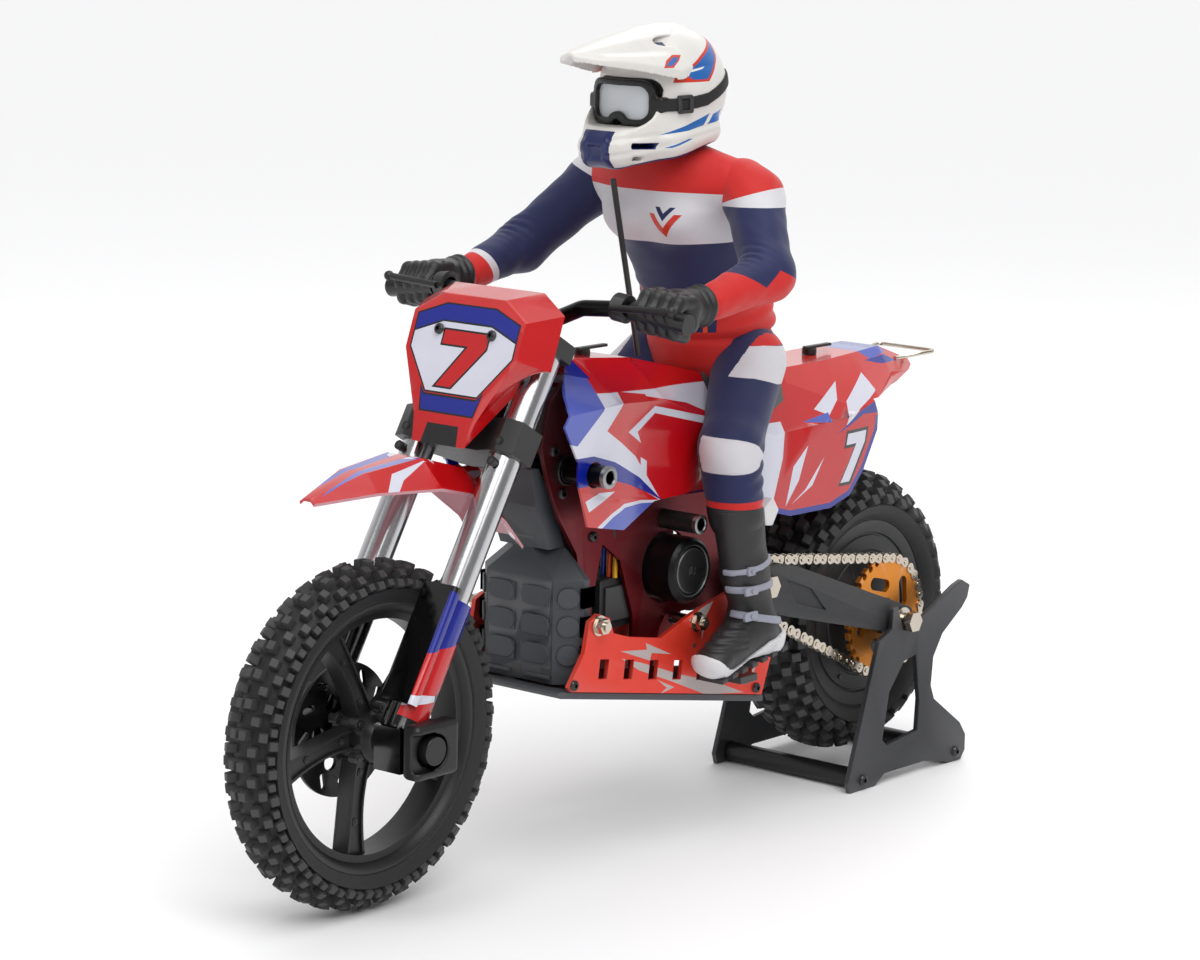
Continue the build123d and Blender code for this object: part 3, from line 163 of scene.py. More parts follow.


# The second, paler red is a painted reflection: a lighter copy of the shell red for areas where the glossy shell
# mirrors the bright studio.
RED, RED_REFLECTION = srgb(198, 20, 28), srgb(204, 58, 56)
BLUE, PALE_BLUE, WHITE = srgb(18, 40, 150), srgb(92, 106, 188), srgb(214, 215, 226)
SHELL = dict(rough=0.22, coat=0.55, grain=0.03, grain_mm=6)
CLOTH = dict(rough=0.62, grain=0.12, grain_mm=0.5, sheen=0.15, specular=0.3)
M = {
    "shell_red": surface("shell_red", RED, **SHELL),
    # A paler copy of the shell red: painted reflection.
    "shell_red_reflection": surface("shell_red_reflection", RED_REFLECTION, **SHELL),
    "shell_blue": surface("shell_blue", BLUE, **SHELL),
    "shell_pale_blue": surface("shell_pale_blue", PALE_BLUE, **SHELL),
    "shell_white": surface("shell_white", WHITE, **SHELL),
    "shell_black": surface("shell_black", srgb(24, 24, 27), **SHELL),
    "shell_grey": surface("shell_grey", srgb(96, 96, 98), **SHELL),
    "shell_pink": surface("shell_pink", srgb(205, 150, 158), **SHELL),
    "wine": surface("wine", srgb(122, 26, 38), rough=0.36, metal=0.75, grain=0.08, grain_mm=0.3, pale_edges=0.5),
    "orange": surface("orange", srgb(226, 72, 52), rough=0.38, metal=0.35, grain=0.08, grain_mm=0.3,
                      pale_edges=0.45),
    "orange_print": surface("orange_print", srgb(190, 180, 178), rough=0.45, metal=0.2, grain=0.05),
    "black_anodised": surface("black_anodised", srgb(30, 30, 32), rough=0.35, metal=0.6, grain=0.08,
                              pale_edges=0.4),
    "stand_grey": surface("stand_grey", srgb(66, 67, 71), rough=0.42, metal=0.5, grain=0.12, grain_mm=0.35,
                          pale_edges=0.5),
    "tube_silver": surface("tube_silver", srgb(205, 205, 207), rough=0.17, metal=1.0, grain=0.03,
                           stretch=(1, 1, 0.05), drift=0.03),
    "nickel": surface("nickel", srgb(206, 198, 186), rough=0.2, metal=1.0, grain=0.04, drift=0.05),
    "steel": surface("steel", srgb(170, 170, 172), rough=0.32, metal=1.0, grain=0.08, stretch=(1, 8, 1)),
    "black_steel": surface("black_steel", srgb(22, 22, 24), rough=0.3, metal=0.7, grain=0.05, pale_edges=0.5),
    "gold": surface("gold", srgb(226, 150, 38), rough=0.34, metal=0.75, grain=0.06, pale_edges=0.4),
    "grey_plastic": surface("grey_plastic", srgb(66, 70, 76), rough=0.5, grain=0.25, grain_mm=0.45,
                            pale_edges=0.25),
    "dark_plastic": surface("dark_plastic", srgb(45, 46, 49), rough=0.48, grain=0.22, grain_mm=0.5, pale_edges=0.2),
    "arm_plastic": surface("arm_plastic", srgb(58, 59, 61), rough=0.62, grain=0.55, grain_mm=1.6, drift=0.22,
                           stretch=(0.25, 1, 1), pale_edges=0.25),
    "black_plastic": surface("black_plastic", srgb(25, 25, 27), rough=0.42, grain=0.18, grain_mm=0.5,
                             pale_edges=0.15),
    "gloss_black": surface("gloss_black", srgb(14, 14, 16), rough=0.16, coat=0.5, grain=0.03),
    "tyre": surface("tyre", srgb(27, 27, 29), rough=0.58, grain=0.3, grain_mm=0.7, drift=0.25, pale_edges=0.12),
    "tyre_wall": surface("tyre_wall", srgb(46, 46, 48), rough=0.6, grain=0.25, grain_mm=0.6, drift=0.18),
    "belt": surface("belt", srgb(20, 20, 21), rough=0.7, grain=0.3),
    "cloth_red": surface("cloth_red", srgb(206, 50, 46), **CLOTH),
    "cloth_navy": surface("cloth_navy", srgb(46, 52, 96), **CLOTH),
    "cloth_white": surface("cloth_white", srgb(214, 213, 217), **CLOTH),
    "cloth_orange": surface("cloth_orange", srgb(226, 92, 42), **CLOTH),
    "boot_black": surface("boot_black", srgb(52, 51, 53), rough=0.5, grain=0.3, grain_mm=0.6, pale_edges=0.15),
    "boot_grey": surface("boot_grey", srgb(158, 160, 172), rough=0.4, grain=0.08),
    "boot_white": surface("boot_white", srgb(218, 218, 220), rough=0.45, grain=0.1),
    "glove": surface("glove", srgb(38, 38, 40), rough=0.45, grain=0.4, grain_mm=0.9, pale_edges=0.2),
    "helmet_white": surface("helmet_white", srgb(222, 220, 216), rough=0.33, coat=0.2, grain=0.06,
                            grain_mm=2),
    "helmet_blue": surface("helmet_blue", srgb(44, 112, 178), rough=0.3, coat=0.2, grain=0.04),
    "helmet_navy": surface("helmet_navy", srgb(34, 48, 104), rough=0.35, coat=0.2, grain=0.05),
    "helmet_red": surface("helmet_red", srgb(206, 66, 44), rough=0.33, coat=0.2, grain=0.04),
    "goggle": surface("goggle", srgb(20, 20, 22), rough=0.36, grain=0.15, grain_mm=0.5),
    "strap": surface("strap", srgb(34, 34, 36), rough=0.7, grain=0.5, grain_mm=0.35, stretch=(1, 1, 3)),
    # Foam: its own pale colour, raised to near-white as part of the painted reflection seen through the lens.
    "foam": surface("foam", srgb(236, 238, 242), rough=0.6, grain=0.1),
    # Lens: thin clear plastic made near-white and 42% opaque, a painted reflection of the bright studio.
    "lens": clear_surface("lens", srgb(240, 244, 248), 0.05, 0.42),
    "wire_yellow": surface("wire_yellow", srgb(232, 178, 22), rough=0.42, grain=0.05),
    "wire_orange": surface("wire_orange", srgb(222, 96, 30), rough=0.42, grain=0.05),
    "wire_blue": surface("wire_blue", srgb(34, 70, 168), rough=0.42, grain=0.05),
    "wire_black": surface("wire_black", srgb(16, 16, 18), rough=0.35, grain=0.05),
    "flywheel": surface("flywheel", srgb(150, 150, 152), rough=0.35, metal=1.0, grain=0.1),
}


# ---------------------------------------------------------------- mesh helpers
def made_object(name, mesh, materials):
    """A new object in the scene; its mesh is in millimetres and becomes metres here."""
    mesh.transform(Matrix.Scale(MM, 4))
    piece = bpy.data.objects.new(name, mesh)
    bpy.context.scene.collection.objects.link(piece)
    for key in materials:
        mesh.materials.append(M[key])
    return piece


def from_bmesh(name, bm, materials, smooth=35.0):
    mesh = bpy.data.meshes.new(name)
    bmesh.ops.recalc_face_normals(bm, faces=bm.faces)
    bm.to_mesh(mesh)
    bm.free()
    piece = made_object(name, mesh, materials)
    mesh.shade_smooth()
    mesh.set_sharp_from_angle(angle=math.radians(smooth))
    return piece


def bevelled(piece, width, segments=2, angle=32.0):
    """Rounds every edge sharper than an angle; the width is in millimetres."""
    rounding = piece.modifiers.new("edges", "BEVEL")
    rounding.width = width * MM
    rounding.segments = segments
    rounding.limit_method = "ANGLE"
    rounding.angle_limit = math.radians(angle)
    rounding.harden_normals = True
    return piece


def placed(piece, node, replaces=True):
    """Rides a piece on its node's body and, if it stands for it, replaces it."""
    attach(piece, BODY_OF[node])
    if replaces:
        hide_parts(node)
    return piece


def node_bmesh(node):
    """A CAD node's mesh, in millimetres, with its flat faces made whole again."""
    bm = bmesh.new()
    bm.from_mesh(NODES[node].data)
    bmesh.ops.scale(bm, vec=(1 / MM,) * 3, verts=bm.verts)
    bmesh.ops.remove_doubles(bm, verts=bm.verts, dist=0.002)
    bmesh.ops.dissolve_limit(bm, angle_limit=math.radians(0.7), verts=bm.verts, edges=bm.edges)
    return bm


def refined(node, material, bevel=0.5):
    """A CAD node's own shape with rounded edges and a real surface."""
    piece = from_bmesh(f"{node}_skin", node_bmesh(node), [material])
    if bevel:
        bevelled(piece, bevel, 2)
    return placed(piece, node)


def inside(point, polygon):
    """Is a flat point inside a polygon?"""
    x, y = point
    within = False
    for (x1, y1), (x2, y2) in zip(polygon, polygon[1:] + polygon[:1]):
        if (y1 > y) != (y2 > y) and x < (x2 - x1) * (y - y1) / (y2 - y1) + x1:
            within = not within
    return within


def painted(bm, across, up, regions, where=None):
    """Cuts a mesh along polygons drawn on a plane and gives the faces inside each its material index.

    across and up are the plane's axes; where(face) says which faces a polygon may colour."""
    look = across.cross(up)
    margin = 0.5
    for polygon, index in regions:
        us, vs = [p[0] for p in polygon], [p[1] for p in polygon]
        for start, end in zip(polygon, polygon[1:] + polygon[:1]):
            edge = across * (end[0] - start[0]) + up * (end[1] - start[1])
            lows = (min(start[0], end[0]) - margin, min(start[1], end[1]) - margin)
            highs = (max(start[0], end[0]) + margin, max(start[1], end[1]) + margin)
            cut = []
            for face in bm.faces:
                if where and not where(face):
                    continue
                fu = [v.co.dot(across) for v in face.verts]
                fv = [v.co.dot(up) for v in face.verts]
                if max(fu) > lows[0] and min(fu) < highs[0] and max(fv) > lows[1] and min(fv) < highs[1]:
                    cut.append(face)
            if not cut or edge.length < 1e-6:
                continue
            edges = {e for f in cut for e in f.edges}
            verts = {v for f in cut for v in f.verts}
            plane_point = across * start[0] + up * start[1]
            bmesh.ops.bisect_plane(
                bm, geom=cut + list(edges) + list(verts), dist=1e-5,
                plane_co=plane_point, plane_no=edge.cross(look).normalized(),
            )
        for face in bm.faces:
            if where and not where(face):
                continue
            centre = face.calc_center_median()
            spot = (centre.dot(across), centre.dot(up))
            if min(us) <= spot[0] <= max(us) and min(vs) <= spot[1] <= max(vs) and inside(spot, polygon):
                face.material_index = index
    return bm


ACROSS_X, ACROSS_Y, UP = Vector((1, 0, 0)), Vector((0, 1, 0)), Vector((0, 0, 1))


def lathe(name, centre, profile, materials, segments=96, bands=None, smooth=35.0):
    """Turns a profile of (distance across the bike, radius) round an axle; bands are material indices per row.

    A profile that doesn't end where it starts is closed into a ring, so the solid keeps its bore."""
    if profile[0] != profile[-1]:
        profile = profile + profile[:1]
        bands = bands + [bands[-1]] if bands else None
    bm = bmesh.new()
    axis = Vector((0, 1, 0))
    side = axis.orthogonal().normalized()
    other = axis.cross(side)
    rings = []
    for along, radius in profile:
        ring = []
        for step in range(segments):
            turn = 2 * math.pi * step / segments
            ring.append(bm.verts.new(centre + axis * along
                                     + (side * math.cos(turn) + other * math.sin(turn)) * radius))
        rings.append(ring)
    for row in range(len(rings) - 1):
        for step in range(segments):
            after = (step + 1) % segments
            face = bm.faces.new((rings[row][step], rings[row][after], rings[row + 1][after],
                                 rings[row + 1][step]))
            face.material_index = bands[row] if bands else 0
    bmesh.ops.remove_doubles(bm, verts=bm.verts, dist=0.003)
    return from_bmesh(name, bm, materials, smooth)


def add_prism(bm, outline, origin, across, up, depth, index=0):
    """Adds a solid: an outline on the plane (across, up) at origin, pushed depth along across x up."""
    out = across.cross(up).normalized() * depth
    low = [bm.verts.new(origin + across * u + up * v) for u, v in outline]
    high = [bm.verts.new(v.co + out) for v in low]
    faces = [bm.faces.new(low[::-1]), bm.faces.new(high)]
    for i in range(len(low)):
        j = (i + 1) % len(low)
        faces.append(bm.faces.new((low[i], low[j], high[j], high[i])))
    for face in faces:
        face.material_index = index
    return faces


def add_disc(bm, centre, axis, radius, depth, sides=24):
    """Adds a round or hexagonal solid that stands on a point."""
    side = axis.orthogonal().normalized()
    other = axis.cross(side)
    turns = [2 * math.pi * k / sides for k in range(sides)]
    outline = [(radius * math.cos(turn), radius * math.sin(turn)) for turn in turns]
    return add_prism(bm, outline, centre, side, other, depth)


def tube(name, points, radius, material):
    """A round rod or wire along points."""
    curve = bpy.data.curves.new(name, "CURVE")
    curve.dimensions = "3D"
    curve.bevel_depth = radius * MM
    curve.bevel_resolution = 4
    curve.use_fill_caps = True
    curve.resolution_u = 10
    line = curve.splines.new("NURBS")
    line.points.add(len(points) - 1)
    for at, point in enumerate(points):
        line.points[at].co = (*(Vector(point) * MM), 1)
        line.points[at].radius = 1.0
    line.order_u = 3
    line.use_endpoint_u = True
    piece = bpy.data.objects.new(name, curve)
    bpy.context.scene.collection.objects.link(piece)
    curve.materials.append(M[material])
    return piece


def screw_heads(name, places, axis, material, head=2.6, height=1.8, body="frame"):
    """Button-head screws with a hexagon recess, standing on a face."""
    bm = bmesh.new()
    for place in places:
        centre = Vector(place)
        side = axis.orthogonal().normalized()
        other = axis.cross(side)
        rows = [(0, 1.0), (0.55, 1.0), (0.85, 0.86), (1.0, 0.6), (1.0, 0.42), (0.55, 0.4)]
        rings = []
        for rise, spread in rows:
            count = 24
            ring = []
            for k in range(count):
                turn = 2 * math.pi * k / count
                flat = 1.0 if spread > 0.5 else 0.9 + 0.1 * math.cos(6 * turn)
                reach = head * spread * flat
                ring.append(bm.verts.new(centre + axis * (height * rise)
                                         + (side * math.cos(turn) + other * math.sin(turn)) * reach))
            rings.append(ring)
        for a, b in zip(rings, rings[1:]):
            for k in range(24):
                bm.faces.new((a[k], a[(k + 1) % 24], b[(k + 1) % 24], b[k]))
        bm.faces.new(rings[0])
        bm.faces.new(rings[-1])
    piece = from_bmesh(name, bm, [material], 40)
    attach(piece, body)
    return piece


# ---------------------------------------------------------------- soft forms, as distance fields
class Field:
    """A block of space, in millimetres, where solids are blended together and turned into one mesh."""

    def __init__(self, low, high, step):
        self.low, self.step = np.array(low, float), step
        count = [int((b - a) / step) + 2 for a, b in zip(low, high)]
        grid = np.indices(count).astype(np.float32) * step
        self.x, self.y, self.z = (grid[k] + low[k] for k in range(3))
        self.value = np.full(count, 1e3, np.float32)

    def join(self, distance, blend=0.0):
        self.value = union(self.value, distance, blend)

    def cut(self, distance, blend=0.0):
        self.value = -union(-self.value, distance, blend)

    def capsule(self, start, end, r_start, r_end, squash=(1, 1, 1)):
        s, e, q = np.array(start, float), np.array(end, float), np.array(squash, float)
        run = (e - s) / q
        px, py, pz = (self.x - s[0]) / q[0], (self.y - s[1]) / q[1], (self.z - s[2]) / q[2]
        t = np.clip((px * run[0] + py * run[1] + pz * run[2]) / max(run @ run, 1e-6), 0, 1)
        gap = np.sqrt((px - t * run[0]) ** 2 + (py - t * run[1]) ** 2 + (pz - t * run[2]) ** 2)
        return (gap - (r_start + (r_end - r_start) * t)) * q.min()

    def ellipsoid(self, centre, radii):
        px, py, pz = ((a - c) / r for a, c, r in zip((self.x, self.y, self.z), centre, radii))
        near = np.sqrt(px**2 + py**2 + pz**2)
        steep = np.sqrt((px / radii[0]) ** 2 + (py / radii[1]) ** 2 + (pz / radii[2]) ** 2)
        return near * (near - 1) / np.maximum(steep, 1e-6)

    def block(self, centre, half, rounding=1.0):
        q = [np.abs(a - c) - (h - rounding) for a, c, h in zip((self.x, self.y, self.z), centre, half)]
        outside = np.sqrt(sum(np.maximum(part, 0) ** 2 for part in q))
        return outside + np.minimum(np.maximum(np.maximum(q[0], q[1]), q[2]), 0) - rounding

    def half_space(self, point, normal):
        n = Vector(normal).normalized()
        return (self.x - point[0]) * n.x + (self.y - point[1]) * n.y + (self.z - point[2]) * n.z

    def bmesh(self):
        grid = openvdb.FloatGrid(100.0)
        grid.copyFromArray(self.value.astype(np.float32))
        points, quads = grid.convertToQuads(0.0)
        bm = bmesh.new()
        verts = [bm.verts.new(Vector(p) * self.step + Vector(self.low)) for p in points]
        for quad in quads:
            bm.faces.new([verts[k] for k in quad])
        bmesh.ops.recalc_face_normals(bm, faces=bm.faces)
        return bm


def union(a, b, blend):
    """The smaller of two distances, rounded where they meet."""
    if not blend:
        return np.minimum(a, b)
    h = np.clip(0.5 + 0.5 * (b - a) / blend, 0, 1)
    return b + (a - b) * h - blend * h * (1 - h)


def relaxed(bm, times=2):
    """Smooths the small steps that the grid leaves."""
    for _ in range(times):
        bmesh.ops.smooth_vert(bm, verts=bm.verts, factor=0.5, use_axis_x=True, use_axis_y=True,
                              use_axis_z=True)
    return bm


def mirrored_copy(piece, name):
    """The same piece on the bike's other side."""
    twin = piece.copy()
    twin.data = piece.data.copy()
    twin.name = name
    twin.data.transform(Matrix.Scale(-1, 4, Vector((0, 1, 0))))
    if twin.type == "MESH":
        twin.data.flip_normals()
    for key in list(twin.keys()):
        del twin[key]
    twin.parent = None
    bpy.context.scene.collection.objects.link(twin)
    return twin


# ---------------------------------------------------------------- wheels
def tread_arc(outer, half, shoulder):
    """Radius and half angle of the tread's arc across the tyre."""
    rise = outer - shoulder
    radius = (half**2 + rise**2) / (2 * rise)
    return radius, math.asin(half / radius)


def knobby_tyre(node, hub, bead, bead_half, pitches, knob, rows, tall):
    """A round carcass with a smooth side wall, and rows of square knobs round it."""
    low, high = box_mm(node)
    outer, half = (high.z - low.z) / 2, (high.y - low.y) / 2
    height = outer - bead
    arc_r, arc_half = tread_arc(outer, half, bead + 0.45 * height)
    core_r = arc_r - tall
    mid = outer - arc_r
    profile = [(-bead_half, bead), (-bead_half - 0.7, bead + 0.8), (-bead_half - 0.5, bead + 1.6),
               (-half + 2.3, bead + 0.2 * height), (-half + 1.5, bead + 0.34 * height)]
    arc_steps = 16
    profile += [(core_r * math.sin(turn), mid + core_r * math.cos(turn))
                for turn in np.linspace(-arc_half, arc_half, arc_steps + 1)]
    profile += [(-along, radius) for along, radius in profile[4::-1]]
    wall_rows, tread_rows = 5, arc_steps
    bands = [1] * wall_rows + [0] * tread_rows + [1] * wall_rows
    carcass = lathe(f"{node}_carcass", hub, profile, ["tyre", "tyre_wall"], 144, bands=bands, smooth=50)
    placed(carcass, node)

    bm = bmesh.new()
    for pitch in range(pitches):
        for across, shift, width, length in rows:
            turn = 2 * math.pi * (pitch + shift) / pitches + rng.normal(0, 0.002)
            lean = across * arc_half
            spin = Matrix.Rotation(turn, 3, "Y")
            out = spin @ Vector((0, math.sin(lean), math.cos(lean)))
            round_way = spin @ Vector((1, 0, 0))
            over = round_way.cross(out)
            foot = hub + spin @ Vector((0, 0, mid)) + out * (core_r - 0.7)
            rise = tall + 0.7 - (0.35 if abs(across) > 0.85 else 0.0)
            bottom, top = [], []
            for a, b in ((-1, -1), (1, -1), (1, 1), (-1, 1)):
                bottom.append(bm.verts.new(foot + round_way * a * length * 0.47 * knob + over * b * width
                                           * 0.47 * knob))
                top.append(bm.verts.new(foot + out * rise + round_way * a * length * 0.38 * knob
                                        + over * b * width * 0.38 * knob))
            bm.faces.new(bottom[::-1])
            bm.faces.new(top)
            for i in range(4):
                j = (i + 1) % 4
                bm.faces.new((bottom[i], bottom[j], top[j], top[i]))
    knobs = from_bmesh(f"{node}_knobs", bm, ["tyre"], 30)
    bevelled(knobs, 0.28, 1)
    placed(knobs, node)


FRONT_ROWS = [(-0.14, 0, 1, 1.1), (0.14, 0, 1, 1.1), (-0.42, 0.5, 1, 1), (0.42, 0.5, 1, 1), (-0.66, 0, 1, 1),
              (0.66, 0, 1, 1), (-0.93, 0.25, 1, 1.05), (0.93, 0.25, 1, 1.05), (-0.9, 0.75, 0.8, 0.9),
              (0.9, 0.75, 0.8, 0.9)]
REAR_ROWS = [(-0.12, 0, 1, 1), (0.12, 0, 1, 1), (-0.36, 0.5, 1.05, 1), (0.36, 0.5, 1.05, 1), (-0.6, 0, 1, 1),
             (0.6, 0, 1, 1), (-0.82, 0.5, 1, 1), (0.82, 0.5, 1, 1), (-0.95, 0, 1, 1.1), (0.95, 0, 1, 1.1),
             (0.0, 0.5, 1.1, 0.9)]


def front_wheel():
    low, high = box_mm("front_rim")
    rim_r = (high.z - low.z) / 2
    knobby_tyre("front_tyre", FRONT_HUB, rim_r, 12.0, 36, 5.2, FRONT_ROWS, 4.6)
    hoop = [(-12, rim_r), (-12.4, rim_r - 1.2), (-11.6, rim_r - 3), (-8.6, rim_r - 5), (-8.2, rim_r - 8.4),
            (-4, rim_r - 8.8), (4, rim_r - 8.8), (8.2, rim_r - 8.4), (8.6, rim_r - 5), (11.6, rim_r - 3),
            (12.4, rim_r - 1.2), (12, rim_r), (9.6, rim_r), (6.5, rim_r - 4.5), (-6.5, rim_r - 4.5),
            (-9.6, rim_r)]
    placed(lathe("front_rim_hoop", FRONT_HUB, hoop, ["black_plastic"], 128), "front_rim")
    hub = [(-13, 4.1), (-13, 8), (-11.5, 9), (-10, 12), (-4, 13), (4, 13), (10, 12), (11.5, 9), (13, 8),
           (13, 4.1)]
    placed(lathe("front_rim_hub", FRONT_HUB, hub, ["black_plastic"], 64), "front_rim")

    bm = bmesh.new()
    for spoke in range(5):
        swing = math.radians(72 * spoke)
        radii = np.linspace(11, rim_r - 8, 13)

        def spot(radius, side):
            """A point on the spoke: side is -1 or 1 at its edges; the spoke curves as it goes out."""
            along = (radius - 11) / (rim_r - 19)
            centre = math.radians(-2 + 14 * along - 3 * along**2)
            half_width = 5.4 - 1.6 * math.sin(math.pi * along) + 0.8 * along
            turn = -(swing + centre + side * half_width / radius)
            return math.cos(turn) * radius, math.sin(turn) * radius

        outline = [spot(r, 1) for r in radii] + [spot(r, -1) for r in radii[::-1]]
        outline = [(x, z) for x, z in outline]
        add_prism(bm, outline, FRONT_HUB + Vector((0, 3.6, 0)), ACROSS_X, UP, 7.2)
        for side in (-1, 1):
            rib = [spot(r, side * 1.0) for r in radii] + [spot(r, side * 0.72) for r in radii[::-1]]
            for face_y, depth in ((5.2, 1.8), (-3.4, 1.8)):
                add_prism(bm, rib, FRONT_HUB + Vector((0, face_y, 0)), ACROSS_X, UP, depth)
        for radius in (18, 42):
            x, z = spot(radius, 0)
            for face_y, way in ((3.6, 1), (-3.6, -1)):
                add_disc(bm, FRONT_HUB + Vector((x, face_y, z)), Vector((0, way, 0)), 1.9, 0.7, 20)
                add_disc(bm, FRONT_HUB + Vector((x, face_y, z)), Vector((0, way, 0)), 1.0, 1.1, 6)
        boss = -(swing + math.radians(36))
        centre = FRONT_HUB + Vector((math.cos(boss) * 14.5, 0, math.sin(boss) * 14.5))
        for way in (1, -1):
            add_disc(bm, centre + Vector((0, 4 * way, 0)), Vector((0, way, 0)), 2.6, 5.5, 20)
            add_disc(bm, centre + Vector((0, 9.5 * way, 0)), Vector((0, way, 0)), 1.3, 0.6, 6)
        inner = centre - Vector((math.cos(boss) * 4, 0, math.sin(boss) * 4))
        add_disc(bm, inner - Vector((0, 9, 0)), Vector((0, 1, 0)), 3.4, 18, 16)
    placed(bevelled(from_bmesh("front_rim_spokes", bm, ["black_plastic"]), 0.5, 2), "front_rim")
    refined("brake_disc", "black_steel", 0.25)
    bm = bmesh.new()
    for bolt in range(6):
        turn = math.radians(60 * bolt + 30)
        add_disc(bm, FRONT_HUB + Vector((12.4 * math.cos(turn), -15, 12.4 * math.sin(turn))),
                 Vector((0, -1, 0)), 1.6, 1.2, 16)
    placed(bevelled(from_bmesh("brake_disc_bolts", bm, ["steel"]), 0.2, 1), "brake_disc", replaces=False)


def rear_wheel():
    low, high = box_mm("rear_rim")
    rim_r = (high.z - low.z) / 2
    knobby_tyre("rear_tyre", REAR_HUB, rim_r, 17.6, 30, 6.6, REAR_ROWS, 5.0)
    half = [(18.4, 4.1), (18.4, 9), (17.6, 10.5), (17.4, 33), (16.6, 33.6), (16.6, 34.6), (17.3, 35.2),
            (16.4, 43.0),
            (15.6, 43.4), (15.6, 44.3), (16.5, 44.8), (17.6, rim_r - 1.4), (17.5, rim_r), (15.4, rim_r)]
    profile = [(-a, r) for a, r in half] + [(a, r) for a, r in half[::-1]]
    placed(lathe("rear_rim_disc", REAR_HUB, profile, ["dark_plastic"], 144, smooth=40), "rear_rim")
    bm = bmesh.new()
    for way in (1, -1):
        for part in range(3):
            turn = math.radians(120 * part + 62)
            along = Vector((math.cos(turn), 0, math.sin(turn)))
            round_way = Vector((-math.sin(turn), 0, math.cos(turn)))
            strip = [(12, -0.35), (32.4, -0.35), (32.4, 0.35), (12, 0.35)]
            add_prism(bm, strip, REAR_HUB + Vector((0, 17.45 * way, 0)), along, round_way,
                      0.25 * (1 if way < 0 else -1))
            spot = REAR_HUB + along * 38.9 + Vector((0, 16.9 * way, 0))
            add_disc(bm, spot, Vector((0, way, 0)), 1.5, 0.7, 18)
    placed(bevelled(from_bmesh("rear_rim_seams", bm, ["black_plastic"]), 0.1, 1), "rear_rim")

    refined("rear_sprocket", "gold", 0.3)
    bm = bmesh.new()
    for bolt in range(5):
        turn = math.radians(72 * bolt + 20)
        spot = REAR_HUB + Vector((8.6 * math.cos(turn), 31.5, 8.6 * math.sin(turn)))
        add_disc(bm, spot, Vector((0, 1, 0)), 1.9, 1.6, 20)
        add_disc(bm, spot + Vector((0, 1.6, 0)), Vector((0, 1, 0)), 0.9, 0.2, 6)
    placed(bevelled(from_bmesh("sprocket_bolts", bm, ["black_steel"]), 0.3, 2), "rear_sprocket",
           replaces=False)
    refined("gyro_flywheel", "flywheel", 0.4)
    refined("rear_axle", "nickel", 0.35)


# ---------------------------------------------------------------- chain
def chain_links():
    """Plates and rollers that follow the chain's real path round both sprockets."""
    low, high = box_mm("chain")
    chain_y = (low.y + high.y) / 2
    pitch, teeth_rear, teeth_drive = 6.35, 32, 12
    radius_rear = pitch / (2 * math.sin(math.pi / teeth_rear))
    radius_drive = pitch / (2 * math.sin(math.pi / teeth_drive))
    rear, drive = Vector((REAR_HUB.x, 0, REAR_HUB.z)), Vector((PIVOT.x, 0, PIVOT.z))
    gap = (drive - rear).length
    line = math.atan2(drive.z - rear.z, drive.x - rear.x)
    opening = math.asin((radius_rear - radius_drive) / gap)
    run = math.sqrt(gap**2 - (radius_rear - radius_drive) ** 2)
    arc_rear, arc_drive = radius_rear * (math.pi + 2 * opening), radius_drive * (math.pi - 2 * opening)
    total = 2 * run + arc_rear + arc_drive
    count = 2 * round(total / pitch / 2)
    step = total / count

    def spot(s):
        s = s % total
        top = line + math.pi / 2 - opening
        bottom = line - math.pi / 2 + opening
        if s < run:
            start = rear + Vector((math.cos(top), 0, math.sin(top))) * radius_rear
            end = drive + Vector((math.cos(top), 0, math.sin(top))) * radius_drive
            return start.lerp(end, s / run)
        s -= run
        if s < arc_drive:
            turn = top - s / radius_drive
            return drive + Vector((math.cos(turn), 0, math.sin(turn))) * radius_drive
        s -= arc_drive
        if s < run:
            start = drive + Vector((math.cos(bottom), 0, math.sin(bottom))) * radius_drive
            end = rear + Vector((math.cos(bottom), 0, math.sin(bottom))) * radius_rear
            return start.lerp(end, s / run)
        s -= run
        turn = bottom - s / radius_rear
        return rear + Vector((math.cos(turn), 0, math.sin(turn))) * radius_rear

    bm = bmesh.new()
    across = Vector((0, 1, 0))
    for link in range(count):
        a, b = spot(link * step), spot((link + 1) * step)
        along = (b - a).normalized()
        up = across.cross(along)
        length = (b - a).length
        outline = []
        end_r, waist = 2.85, 1.75
        for k in range(13):
            turn = math.radians(-115 + 230 * k / 12)
            outline.append((length / 2 + length / 2 + end_r * math.cos(turn), end_r * math.sin(turn)))
        outline.append((length / 2, waist))
        for k in range(13):
            turn = math.radians(65 + 230 * k / 12)
            outline.append((end_r * math.cos(turn), end_r * math.sin(turn)))
        outline.append((length / 2, -waist))
        outer = link % 2 == 0
        for side in (1, -1):
            face = chain_y + side * (2.15 if outer else 1.25)
            origin = Vector((a.x, face, a.z))
            add_prism(bm, outline, origin, along, up, -0.75 * side)
        if outer:
            for end in (a, b):
                pin = Vector((end.x, chain_y - 2.7, end.z))
                add_disc(bm, pin, across, 1.15, 5.4, 14)
        add_disc(bm, Vector((a.x, chain_y - 1.1, a.z)), across, 1.65, 2.2, 16)
    placed(bevelled(from_bmesh("chain_links", bm, ["nickel"], 30), 0.12, 1), "chain")


